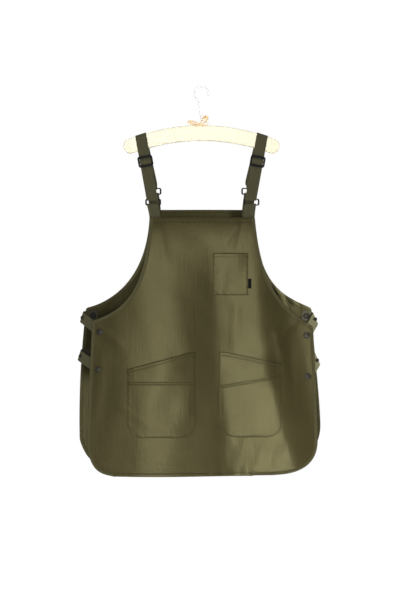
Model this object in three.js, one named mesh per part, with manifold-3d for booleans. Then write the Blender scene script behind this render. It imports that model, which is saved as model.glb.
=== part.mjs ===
// Waterproof cloth apron with a front and a back panel, hung by two straps on a plain hanger.
// Millimetres, +Z up, the front faces -Y, origin at the inner crown of the hanger hook.
import * as THREE from 'three';
import Module from 'manifold-3d';

const wasm = await Module();
wasm.setup();
const { Manifold, Mesh } = wasm;

// Cloth panels
const panelHeight = 682;
const panelHalf = 303;
const clothThick = 1.4;
const bibDrop = 346;
const backRaise = 22;
const bibDepth = 13;
const hemDepth = 25;
const bibLean = 14;
const hemLean = 14;
const foldDepth = 10;
const rimTuck = 8;
const tapeWidth = 8;
const tapeThick = 0.7;
const columnStep = 26;
const rowStep = 52;

// Pockets
const hipGape = 15;
const chestGape = 9;
const labelThick = 0.9;

// Shoulder straps and their fittings
const webWidth = 30;
const webThick = 1.6;
const strapSpread = 161;
const frontRingSpread = 129;
const backRingSpread = 128;
const frontRingRise = 41;
const backRingRise = 49;
const frontRingDrop = bibDrop - frontRingRise;
const backRingDrop = bibDrop - backRaise - backRingRise;
const ringWidth = 42;
const ringHeight = 18.5;
const ringWire = 3;
const sliderDrop = 197;
const sliderWidth = 40;
const sliderHeight = 30;
const sliderThick = 3;
const sliderBar = 4.4;
const loopTail = 24;

// Side tabs and snaps
const tabWidth = 26;
const tabThick = 1.4;
const tabReach = 50;
const tabBack = 20;
const tabTail = 12;
const capRadius = 9;
const capThick = 3;
const studRadius = 5;
const studThick = 2.4;

// Hanger
const barHalfLength = 208;
const barHeight = 41;
const barThick = 12;
const barTopDrop = 101;
const barSag = 34.5;
const hookInner = 17;
const hookWire = 3.4;

// Play between neighbouring pieces
const seat = 0.3;

const front = { out: -1, top: -bibDrop };
const back = { out: 1, top: -bibDrop + backRaise };

// Panel edges as cubic curves: shares of panelHalf outward and of panelHeight down
const edges = [
  { panel: front, side: -1, run: 'armhole', a: [0.448, 0], b: [0.475, 0.305],
    c: [0.704, 0.365], d: [0.949, 0.4] },
  { panel: front, side: -1, run: 'side', a: [0.949, 0.4], b: [0.97, 0.554],
    c: [0.979, 0.709], d: [0.993, 0.862] },
  { panel: front, side: -1, run: 'corner', a: [0.993, 0.862], b: [0.981, 1.0],
    c: [0.832, 0.99], d: [0.748, 1] },
  { panel: front, side: 1, run: 'armhole', a: [0.462, 0], b: [0.513, 0.288],
    c: [0.738, 0.358], d: [0.972, 0.423] },
  { panel: front, side: 1, run: 'side', a: [0.972, 0.423], b: [0.987, 0.569],
    c: [1.008, 0.715], d: [1.01, 0.862] },
  { panel: front, side: 1, run: 'corner', a: [1.01, 0.862], b: [1.015, 1.03],
    c: [0.5, 0.985], d: [0.424, 1] },
  { panel: back, side: -1, run: 'armhole', a: [0.452, 0], b: [0.455, 0.285],
    c: [0.831, 0.367], d: [1.01, 0.383] },
  { panel: back, side: -1, run: 'side', a: [1.01, 0.383], b: [1.054, 0.551],
    c: [1.075, 0.721], d: [1.066, 0.895] },
  { panel: back, side: -1, run: 'corner', a: [1.066, 0.895], b: [0.993, 1.0],
    c: [0.876, 0.997], d: [0.766, 1] },
  { panel: back, side: 1, run: 'armhole', a: [0.455, 0], b: [0.486, 0.308],
    c: [0.733, 0.338], d: [0.962, 0.384] },
  { panel: back, side: 1, run: 'side', a: [0.962, 0.384], b: [0.978, 0.538],
    c: [1.028, 0.683], d: [1.041, 0.837] },
  { panel: back, side: 1, run: 'corner', a: [1.041, 0.837], b: [1.038, 1.0],
    c: [0.664, 0.995], d: [0.599, 1] },
];

// Bends that shape the front, from left to right: their line as a share of panelHalf at the bib top and at
// the hem, how that line bows, how softly the cloth turns, and the change of slope at the top and at the hem
const bends = [
  { top: -0.84, hem: -1.08, bow: 1, soft: 0.04, head: 0.13, foot: 0.06 },
  { top: -0.56, hem: -0.72, bow: 1, soft: 0.06, head: -0.15, foot: -0.06 },
  { top: -0.42, hem: -0.5, bow: 1, soft: 0.05, head: -0.1, foot: -0.08 },
  { top: -0.26, hem: -0.34, bow: 1, soft: 0.06, head: -0.1, foot: -0.1 },
  { top: -0.13, hem: -0.16, bow: 1, soft: 0.05, head: -0.1, foot: -0.1 },
  { top: 0.05, hem: 0.19, bow: 1.4, soft: 0.02, head: 0.24, foot: 0.22 },
  { top: 0.2, hem: 0.34, bow: 1, soft: 0.06, head: 0.04, foot: 0.05 },
  { top: 0.46, hem: 0.93, bow: 2, soft: 0.022, head: -0.28, foot: -0.26 },
  { top: 0.7, hem: 1.25, bow: 2, soft: 0.05, head: 0.2, foot: 0.2 },
];
const firstSlope = 0.11;
const crestLine = -0.38;

// Hanging folds of the back: their line at the top and at the hem, width, depth as shares of foldDepth
const folds = [
  { top: -0.34, hem: -0.45, wide: 0.16, topDepth: 0.3, hemDepth: 0.9 },
  { top: 0, hem: 0.06, wide: 0.2, topDepth: -0.2, hemDepth: -0.6 },
  { top: 0.38, hem: 0.5, wide: 0.15, topDepth: 0.3, hemDepth: 1.0 },
  { top: 0.7, hem: 0.8, wide: 0.1, topDepth: 0, hemDepth: -0.5 },
];

// Hip pockets: edges as shares of panelHalf, heights as shares of panelHeight below the bib top
const hipPockets = [
  { name: 'hip_pocket_left', inner: -0.05, outer: -0.647, peak: -0.085, mouthIn: 0.52, mouthOut: 0.586,
    base: 0.85, roundIn: 0.13, roundOut: 0.13 },
  { name: 'hip_pocket_right', inner: 0.154, outer: 0.694, peak: 0.2, mouthIn: 0.52, mouthOut: 0.565,
    base: 0.85, roundIn: 0.15, roundOut: 0.13 },
];
const chestPocket = { inner: 0.101, outer: 0.406, top: 0.138, base: 0.301 };
const sideLabel = { top: 0.237, base: 0.274, wide: 0.027 };

// Side tabs: snap places as shares on the front panel, angles in degrees, reach and back as shares
const sideTabs = [
  { name: 'upper_left', side: -1, out: 0.888, down: 0.443, rise: 39, tilt: 17, reach: 1, back: 0.9 },
  { name: 'lower_left', side: -1, out: 0.9, down: 0.588, rise: 36, tilt: 17, reach: 0.96, back: 0.9 },
  { name: 'upper_right', side: 1, out: 0.918, down: 0.456, rise: 61, tilt: 24, reach: 0.84, back: 0.8 },
  { name: 'lower_right', side: 1, out: 0.93, down: 0.616, rise: 60, tilt: 24, reach: 0.84, back: 0.8 },
];

const paint = {
  cloth: [0x6a6446, 0.85, 0],
  edge_tape: [0x8a8562, 0.8, 0],
  webbing: [0x7a7656, 0.85, 0],
  black_plastic: [0x1b1c1d, 0.45, 0],
  snap_metal: [0x3a3c40, 0.4, 0.8],
  label_black: [0x161616, 0.7, 0],
  pale_wood: [0xd9c7a0, 0.55, 0],
  steel_wire: [0xb8b8b4, 0.3, 0.9],
  twine: [0xb0673a, 0.8, 0],
};
const slots = {};
for (const [name, [color, roughness, metalness]] of Object.entries(paint)) {
  slots[name] = new THREE.MeshStandardMaterial({ color, roughness, metalness });
  slots[name].name = name;
}

const apron = new THREE.Group();
apron.name = 'waterproof_apron';

function place(name, slot, geometry) {
  const mesh = new THREE.Mesh(geometry, slots[slot]);
  mesh.name = name;
  apron.add(mesh);
}

// Solids from shared corner lists
function solid(corners, faces) {
  let volume = 0;
  for (const [a, b, c] of faces) {
    const p = corners[a];
    const q = corners[b];
    const r = corners[c];
    volume += p[0] * (q[1] * r[2] - q[2] * r[1]);
    volume -= p[1] * (q[0] * r[2] - q[2] * r[0]);
    volume += p[2] * (q[0] * r[1] - q[1] * r[0]);
  }
  const turned = volume < 0 ? faces.map(([a, b, c]) => [a, c, b]) : faces;
  const mesh = new Mesh({
    numProp: 3,
    vertProperties: new Float32Array(corners.flat()),
    triVerts: new Uint32Array(turned.flat()),
  });
  return new Manifold(mesh);
}

function fromGeometry(geometry) {
  const spots = geometry.getAttribute('position');
  const seen = new Map();
  const corners = [];
  const ids = [];
  for (let i = 0; i < spots.count; i += 1) {
    const p = [spots.getX(i), spots.getY(i), spots.getZ(i)];
    const key = p.map((v) => Math.round(v * 1e4)).join(',');
    if (!seen.has(key)) {
      seen.set(key, corners.length);
      corners.push(p);
    }
    ids.push(seen.get(key));
  }
  const order = geometry.index ? Array.from(geometry.index.array) : ids.map((_, i) => i);
  const faces = [];
  for (let i = 0; i < order.length; i += 3) {
    const face = [ids[order[i]], ids[order[i + 1]], ids[order[i + 2]]];
    if (new Set(face).size === 3) {
      faces.push(face);
    }
  }
  return solid(corners, faces);
}

function toGeometry(body) {
  const mesh = body.getMesh();
  const geometry = new THREE.BufferGeometry();
  const stride = mesh.numProp;
  const spots = new Float32Array(mesh.numVert * 3);
  for (let i = 0; i < mesh.numVert; i += 1) {
    spots.set(mesh.vertProperties.slice(i * stride, i * stride + 3), i * 3);
  }
  geometry.setAttribute('position', new THREE.BufferAttribute(spots, 3));
  geometry.setIndex(new THREE.BufferAttribute(new Uint32Array(mesh.triVerts), 1));
  geometry.computeVertexNormals();
  return geometry;
}

// Flat outline in x and z carried right through the depth
function prism(outline) {
  const reach = 200;
  const contour = outline.map(([x, z]) => new THREE.Vector2(x, z));
  if (THREE.ShapeUtils.isClockWise(contour)) {
    contour.reverse();
  }
  const caps = THREE.ShapeUtils.triangulateShape(contour, []);
  const count = contour.length;
  const corners = [];
  for (const y of [-reach, reach]) {
    for (const p of contour) {
      corners.push([p.x, y, p.y]);
    }
  }
  const faces = [];
  for (const [a, b, c] of caps) {
    faces.push([a, b, c], [a + count, c + count, b + count]);
  }
  for (let i = 0; i < count; i += 1) {
    const j = (i + 1) % count;
    faces.push([i, i + count, j + count], [i, j + count, j]);
  }
  return solid(corners, faces);
}

// Depth of the outer face of a panel, measured from the plane between the two panels
function smooth(t) {
  const u = Math.min(1, Math.max(0, t));
  return u * u * (3 - 2 * u);
}

function turnedBy(soft, past) {
  const t = past / soft;
  return t > 30 ? past : soft * Math.log1p(Math.exp(t));
}

function frontDepth(x, z) {
  const across = Math.min(1, Math.max(-1, x / panelHalf));
  const down = (front.top - z) / panelHeight;
  const share = Math.min(1, Math.max(0, down));
  let rise = firstSlope * (across - crestLine);
  for (const bend of bends) {
    const line = bend.top + (bend.hem - bend.top) * share ** bend.bow;
    const change = bend.head + (bend.foot - bend.head) * share;
    rise += change * (turnedBy(bend.soft, across - line) - turnedBy(bend.soft, crestLine - line));
  }
  const grip = 0.1 + 0.9 * smooth(down / 0.3);
  const crest = bibDepth + bibLean * (1 - Math.exp(-share / 0.07)) + hemLean * smooth(down * 1.2);
  return crest + grip * panelHalf * rise;
}

function backDepth(x, z) {
  const across = x / panelHalf;
  const down = (back.top - z) / panelHeight;
  const fall = smooth(down);
  let depth = bibDepth + (hemDepth - bibDepth) * fall;
  for (const fold of folds) {
    const line = fold.top + (fold.hem - fold.top) * down;
    const span = (across - line) / fold.wide;
    const size = fold.topDepth + (fold.hemDepth - fold.topDepth) * smooth(down * 1.4);
    depth += foldDepth * size * Math.exp(-span * span);
  }
  const rim = smooth((Math.abs(across) - 0.55) / 0.45);
  return depth - rimTuck * rim * (0.5 + fall);
}

function foldedDepth(panel, x, z) {
  return panel === front ? frontDepth(x, z) : backDepth(x, z);
}

// Shared grid, so everything laid on a panel has the same facets as the panel
function gridDepth(panel, i, j) {
  return foldedDepth(panel, i * columnStep, panel.top - j * rowStep);
}

function facetDepth(panel, x, z) {
  const u = x / columnStep;
  const v = (panel.top - z) / rowStep;
  const i = Math.floor(u);
  const j = Math.floor(v);
  const s = u - i;
  const t = v - j;
  const a = gridDepth(panel, i, j);
  const b = gridDepth(panel, i + 1, j);
  const c = gridDepth(panel, i, j + 1);
  const d = gridDepth(panel, i + 1, j + 1);
  if (s + t <= 1) {
    return a + (b - a) * s + (c - a) * t;
  }
  return d + (c - d) * (1 - s) + (b - d) * (1 - t);
}

function sheet(panel, outline, low, high) {
  const xs = outline.map((p) => p[0]);
  const zs = outline.map((p) => p[1]);
  const i0 = Math.floor(Math.min(...xs) / columnStep - 0.01);
  const i1 = Math.ceil(Math.max(...xs) / columnStep + 0.01);
  const j0 = Math.floor((panel.top - Math.max(...zs)) / rowStep - 0.01);
  const j1 = Math.ceil((panel.top - Math.min(...zs)) / rowStep + 0.01);
  const wide = i1 - i0 + 1;
  const tall = j1 - j0 + 1;
  const corners = [];
  for (const lift of [low, high]) {
    for (let j = j0; j <= j1; j += 1) {
      for (let i = i0; i <= i1; i += 1) {
        const x = i * columnStep;
        const z = panel.top - j * rowStep;
        corners.push([x, panel.out * (gridDepth(panel, i, j) + lift(x, z)), z]);
      }
    }
  }
  const layer = wide * tall;
  const faces = [];
  for (let j = 0; j < tall - 1; j += 1) {
    for (let i = 0; i < wide - 1; i += 1) {
      const a = j * wide + i;
      const b = a + 1;
      const c = a + wide;
      const d = c + 1;
      faces.push([a, b, c], [b, d, c]);
      faces.push([a + layer, c + layer, b + layer], [b + layer, c + layer, d + layer]);
    }
  }
  const rim = [];
  for (let i = 0; i < wide - 1; i += 1) {
    rim.push(i);
  }
  for (let j = 0; j < tall - 1; j += 1) {
    rim.push(j * wide + wide - 1);
  }
  for (let i = wide - 1; i > 0; i -= 1) {
    rim.push((tall - 1) * wide + i);
  }
  for (let j = tall - 1; j > 0; j -= 1) {
    rim.push(j * wide);
  }
  for (let k = 0; k < rim.length; k += 1) {
    const a = rim[k];
    const b = rim[(k + 1) % rim.length];
    faces.push([a, a + layer, b + layer], [a, b + layer, b]);
  }
  return solid(corners, faces).intersect(prism(outline));
}

// Panel edge curves
function edgeRun(panel, side, run, count, grow) {
  const row = edges.find((e) => e.panel === panel && e.side === side && e.run === run);
  const pins = [row.a, row.b, row.c, row.d].map(([across, down]) => (
    new THREE.Vector2(side * across * panelHalf, panel.top - down * panelHeight)));
  const curve = new THREE.CubicBezierCurve(...pins);
  const points = [];
  for (let i = 0; i <= count; i += 1) {
    const p = curve.getPoint(i / count);
    const t = curve.getTangent(i / count);
    points.push([p.x + side * -t.y * grow, p.y + side * t.x * grow]);
  }
  return points;
}

function sideEdge(panel, side, grow) {
  const arm = edgeRun(panel, side, 'armhole', 9, grow);
  const flank = edgeRun(panel, side, 'side', 3, grow);
  const corner = edgeRun(panel, side, 'corner', 6, grow);
  const last = arm[arm.length - 1];
  const first = flank[0];
  const meet = [side * Math.max(Math.abs(last[0]), Math.abs(first[0])), Math.max(last[1], first[1])];
  const near = side * Math.min(Math.abs(last[0]), Math.abs(first[0]));
  const turn = grow < 0 ? [near, Math.min(last[1], first[1])] : meet;
  return [...arm.slice(0, -1), turn, ...flank.slice(1, -1), ...corner];
}

function panelOutline(panel) {
  const left = sideEdge(panel, -1, 0);
  const right = sideEdge(panel, 1, 0);
  return [...left, ...right.reverse()];
}

function between(low, high) {
  return [() => low, () => high];
}

for (const [name, panel] of [['front_panel', front], ['back_panel', back]]) {
  const body = sheet(panel, panelOutline(panel), ...between(-clothThick, 0));
  place(name, 'cloth', toGeometry(body));
}

// Tape folded over the armholes, the sides and the lower corners
function prolong(points, past) {
  const stretch = (end, next) => {
    const size = Math.hypot(end[0] - next[0], end[1] - next[1]);
    return [0, 1].map((m) => end[m] + ((end[m] - next[m]) * past) / size);
  };
  const last = points.length - 1;
  const start = stretch(points[0], points[1]);
  const finish = stretch(points[last], points[last - 1]);
  return [start, ...points.slice(1, last), finish];
}

function tapeStrip(panel, side, outer, inner, past) {
  const near = prolong(sideEdge(panel, side, outer), past);
  const far = prolong(sideEdge(panel, side, -inner), past);
  return [...near, ...far.reverse()];
}

function edgeTape(panel, side) {
  const skin = seat + tapeThick;
  const wide = tapeStrip(panel, side, skin, tapeWidth, 0);
  const open = tapeStrip(panel, side, seat, tapeWidth + 2, 3);
  const whole = sheet(panel, wide, ...between(-clothThick - skin, skin));
  const core = sheet(panel, open, ...between(-clothThick - seat, seat));
  return whole.subtract(core);
}

for (const [panel, word] of [[front, 'front'], [back, 'back']]) {
  for (const [side, hand] of [[-1, 'left'], [1, 'right']]) {
    place(`${word}_binding_${hand}`, 'edge_tape', toGeometry(edgeTape(panel, side)));
  }
}

// Patch pockets, sewn down at the sides and the base and standing off at the mouth
function pocketLift(row, gape) {
  return (x, z) => {
    const across = (x / panelHalf - row.inner) / (row.outer - row.inner);
    const down = (front.top - z) / panelHeight;
    const mouth = row.mouthIn + (row.mouthOut - row.mouthIn) * Math.min(1, Math.max(0, across));
    const fall = Math.min(1, Math.max(0, (down - mouth) / (row.base - mouth)));
    const bow = Math.max(0, 4 * across * (1 - across));
    return gape * bow * (1 - fall) ** 2;
  };
}

function quarter(cx, cz, rx, rz, from) {
  const points = [];
  for (let k = 0; k <= 4; k += 1) {
    const turn = ((from + (k * 90) / 4) * Math.PI) / 180;
    points.push([cx + rx * Math.cos(turn), cz + rz * Math.sin(turn)]);
  }
  return points;
}

function hipOutline(row) {
  const side = Math.sign(row.outer);
  const inX = row.inner * panelHalf;
  const outX = row.outer * panelHalf;
  const low = front.top - row.base * panelHeight;
  const inR = row.roundIn * panelHalf;
  const outR = row.roundOut * panelHalf;
  const mouthIn = front.top - row.mouthIn * panelHeight;
  const mouthOut = front.top - row.mouthOut * panelHeight;
  const innerCorner = quarter(inX + side * inR, low + inR, side * inR, inR, 180);
  const outerCorner = quarter(outX - side * outR, low + outR, side * outR, outR, 270);
  return [[row.peak * panelHalf, mouthIn], [inX, mouthIn], ...innerCorner, ...outerCorner, [outX, mouthOut]];
}

for (const row of hipPockets) {
  const lift = pocketLift(row, hipGape);
  const low = (x, z) => lift(x, z) + seat;
  const high = (x, z) => lift(x, z) + seat + clothThick;
  place(row.name, 'cloth', toGeometry(sheet(front, hipOutline(row), low, high)));
}

function boxOutline(x0, x1, down0, down1) {
  const high = front.top - down0 * panelHeight;
  const low = front.top - down1 * panelHeight;
  return [[x0, low], [x1, low], [x1, high], [x0, high]];
}

const chestRow = { ...chestPocket, mouthIn: chestPocket.top, mouthOut: chestPocket.top };
const chestLift = pocketLift(chestRow, chestGape);
const chestIn = chestPocket.inner * panelHalf;
const chestOut = chestPocket.outer * panelHalf;
const chestBody = sheet(
  front,
  boxOutline(chestIn, chestOut, chestPocket.top, chestPocket.base),
  (x, z) => chestLift(x, z) + seat,
  (x, z) => chestLift(x, z) + seat + clothThick,
);
place('chest_pocket', 'cloth', toGeometry(chestBody));

const labelIn = chestOut + seat;
const labelOut = labelIn + sideLabel.wide * panelHalf;
const labelBody = sheet(
  front,
  boxOutline(labelIn, labelOut, sideLabel.top, sideLabel.base),
  ...between(seat, seat + labelThick),
);
place('chest_label', 'label_black', toGeometry(labelBody));

// Flat band swept along rows of a centre point and a vector from there to one edge
function ribbon(rows, thick) {
  const corners = [];
  const count = rows.length;
  for (let k = 0; k < count; k += 1) {
    const here = rows[k].at;
    const before = here.clone().sub(rows[Math.max(0, k - 1)].at).normalize();
    const after = rows[Math.min(count - 1, k + 1)].at.clone().sub(here).normalize();
    const tangent = before.clone().add(after).normalize();
    const normal = new THREE.Vector3().crossVectors(tangent, rows[k].half).normalize();
    const inside = k > 0 && k < count - 1;
    const miter = inside ? Math.max(0.5, Math.sqrt((1 + before.dot(after)) / 2)) : 1;
    for (const [a, b] of [[-1, -1], [1, -1], [1, 1], [-1, 1]]) {
      const spot = here.clone();
      spot.addScaledVector(rows[k].half, a);
      spot.addScaledVector(normal, (b * thick) / (2 * miter));
      corners.push(spot.toArray());
    }
  }
  const faces = [[0, 1, 2], [0, 2, 3]];
  for (let k = 0; k < count - 1; k += 1) {
    for (let m = 0; m < 4; m += 1) {
      const a = k * 4 + m;
      const b = k * 4 + ((m + 1) % 4);
      faces.push([a, a + 4, b + 4], [a, b + 4, b]);
    }
  }
  const e = (count - 1) * 4;
  faces.push([e, e + 2, e + 1], [e, e + 3, e + 2]);
  return solid(corners, faces);
}

function arc(cy, cz, radius, from, to, count) {
  const points = [];
  for (let k = 0; k <= count; k += 1) {
    const turn = ((from + ((to - from) * k) / count) * Math.PI) / 180;
    points.push([cy + radius * Math.cos(turn), cz + radius * Math.sin(turn)]);
  }
  return points;
}

// Hanger board, arched and rounded at both ends
function barTop(x) {
  const end = barHalfLength - barHeight / 2;
  return -barTopDrop - barSag * (x / end) ** 2;
}

function barOutline() {
  const end = barHalfLength - barHeight / 2;
  const shape = new THREE.Shape();
  const steps = 10;
  for (let k = 0; k <= steps; k += 1) {
    const x = -end + (2 * end * k) / steps;
    if (k === 0) {
      shape.moveTo(x, barTop(x));
    } else {
      shape.lineTo(x, barTop(x));
    }
  }
  const turn = Math.atan((2 * barSag) / end);
  const half = barHeight / 2;
  const drop = barTop(end) - half;
  for (let k = 1; k < 6; k += 1) {
    const a = Math.PI / 2 - turn - ((Math.PI - turn) * k) / 6;
    shape.lineTo(end + half * Math.cos(a) * 0.95, drop + half * Math.sin(a));
  }
  for (let k = 0; k <= steps; k += 1) {
    const x = end - (2 * end * k) / steps;
    shape.lineTo(x, barTop(x) - barHeight);
  }
  for (let k = 5; k > 0; k -= 1) {
    const a = Math.PI / 2 - turn - ((Math.PI - turn) * k) / 6;
    shape.lineTo(-end - half * Math.cos(a) * 0.95, drop + half * Math.sin(a));
  }
  return shape;
}

const bevel = 2;
const barBody = new THREE.ExtrudeGeometry(barOutline(), {
  depth: barThick - 2 * bevel,
  bevelEnabled: true,
  bevelThickness: bevel,
  bevelSize: bevel,
  bevelOffset: -bevel,
  bevelSegments: 1,
  curveSegments: 6,
});
barBody.rotateX(Math.PI / 2);
barBody.translate(0, barThick / 2 - bevel, 0);
place('hanger_bar', 'pale_wood', toGeometry(fromGeometry(barBody)));

// Hanger hook, leaning a little to the left below its crown
const crown = hookInner + hookWire / 2;
const hookLine = [];
for (let k = 0; k <= 9; k += 1) {
  const turn = ((-15 + 27 * k) * Math.PI) / 180;
  hookLine.push(new THREE.Vector3(crown * Math.cos(turn), 0, -hookInner + crown * Math.sin(turn)));
}
const shankFoot = -barTopDrop + seat;
for (const [across, share] of [[-0.42, 0.4], [-0.22, 0.62], [-0.06, 0.82], [0, 1]]) {
  hookLine.push(new THREE.Vector3(across * crown, 0, shankFoot * share));
}
const hookCurve = new THREE.CatmullRomCurve3(hookLine, false, 'centripetal');
const wireRound = new THREE.Shape();
wireRound.absarc(0, 0, hookWire / 2, 0, Math.PI * 2, false);
const hookSweep = { extrudePath: hookCurve, steps: 26, curveSegments: 4 };
const hookBody = new THREE.ExtrudeGeometry(wireRound, hookSweep);
place('hanger_hook', 'steel_wire', toGeometry(fromGeometry(hookBody)));

// Small twine bow tied round the foot of the hook
function turned(geometry, x, y, z, rx, ry, rz) {
  geometry.rotateX(rx);
  geometry.rotateY(ry);
  geometry.rotateZ(rz);
  geometry.translate(x, y, z);
  return fromGeometry(geometry);
}

const bowHeight = -barTopDrop + 8;
const knotIn = hookWire / 2 + 0.8;
const knotOut = knotIn + 4;
const knotSide = [[knotIn, -4], [knotOut, -4], [knotOut + 1, 0], [knotOut, 4], [knotIn, 4], [knotIn, -4]];
const knotLathe = new THREE.LatheGeometry(knotSide.map(([r, z]) => new THREE.Vector2(r, z)), 10);
const bowLoops = [
  { across: -17, depth: -5, lift: 1, tilt: 0.15 },
  { across: 15, depth: -5, lift: 3, tilt: -0.5 },
];
let bowBody = turned(knotLathe, -0.6, 0, bowHeight, Math.PI / 2, 0, 0);
for (const row of bowLoops) {
  const loop = new THREE.TorusGeometry(8, 2.2, 5, 11);
  loop.scale(1.35, 0.7, 1.2);
  const height = bowHeight + row.lift;
  bowBody = bowBody.add(turned(loop, row.across, row.depth, height, Math.PI / 2.6, row.tilt, 0));
}
place('hanger_bow', 'twine', toGeometry(bowBody));

// Innermost depth that clears the cloth and its tape under a strip
function clearDepth(panel, x, z, dirX, dirZ, length, half) {
  let depth = Infinity;
  for (let a = 0; a <= 14; a += 1) {
    for (let b = -4; b <= 4; b += 1) {
      const run = (length * a) / 14;
      const wide = (half * b) / 4;
      const px = x + dirX * run - dirZ * wide;
      const pz = z + dirZ * run + dirX * wide;
      depth = Math.min(depth, facetDepth(panel, px, pz));
    }
  }
  return depth - clothThick - 2 * seat - tapeThick;
}

// Frame of a rectangular loop with cut corners, its holes given as half sizes and heights
function frameGeometry(halfX, halfZ, cut, holes, thick) {
  const corners = (x0, x1, z0, z1, nip) => [
    [x0 + nip, z0], [x1 - nip, z0], [x1, z0 + nip], [x1, z1 - nip],
    [x1 - nip, z1], [x0 + nip, z1], [x0, z1 - nip], [x0, z0 + nip],
  ];
  const trace = (path, points) => {
    points.forEach(([x, z], k) => (k ? path.lineTo(x, z) : path.moveTo(x, z)));
    path.closePath();
    return path;
  };
  const shape = trace(new THREE.Shape(), corners(-halfX, halfX, -halfZ, halfZ, cut));
  for (const hole of holes) {
    shape.holes.push(trace(new THREE.Path(), corners(-hole.half, hole.half, hole.low, hole.high, hole.cut)));
  }
  const frame = new THREE.ExtrudeGeometry(shape, { depth: thick, bevelEnabled: false });
  frame.translate(0, 0, -thick / 2);
  frame.rotateX(Math.PI / 2);
  return frame;
}

// Shoulder straps: centre line in y and z, leaning inward below the hanger
const webHalf = webThick / 2;
const gap = seat + webHalf;
const strapFaceY = barThick / 2 + gap;
const wrap = ringWire * 0.71 + gap;
const pair = webHalf + seat / 2;
const ringPlane = bibDepth - 4;
const sliderPlane = strapFaceY + 1.2;

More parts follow.
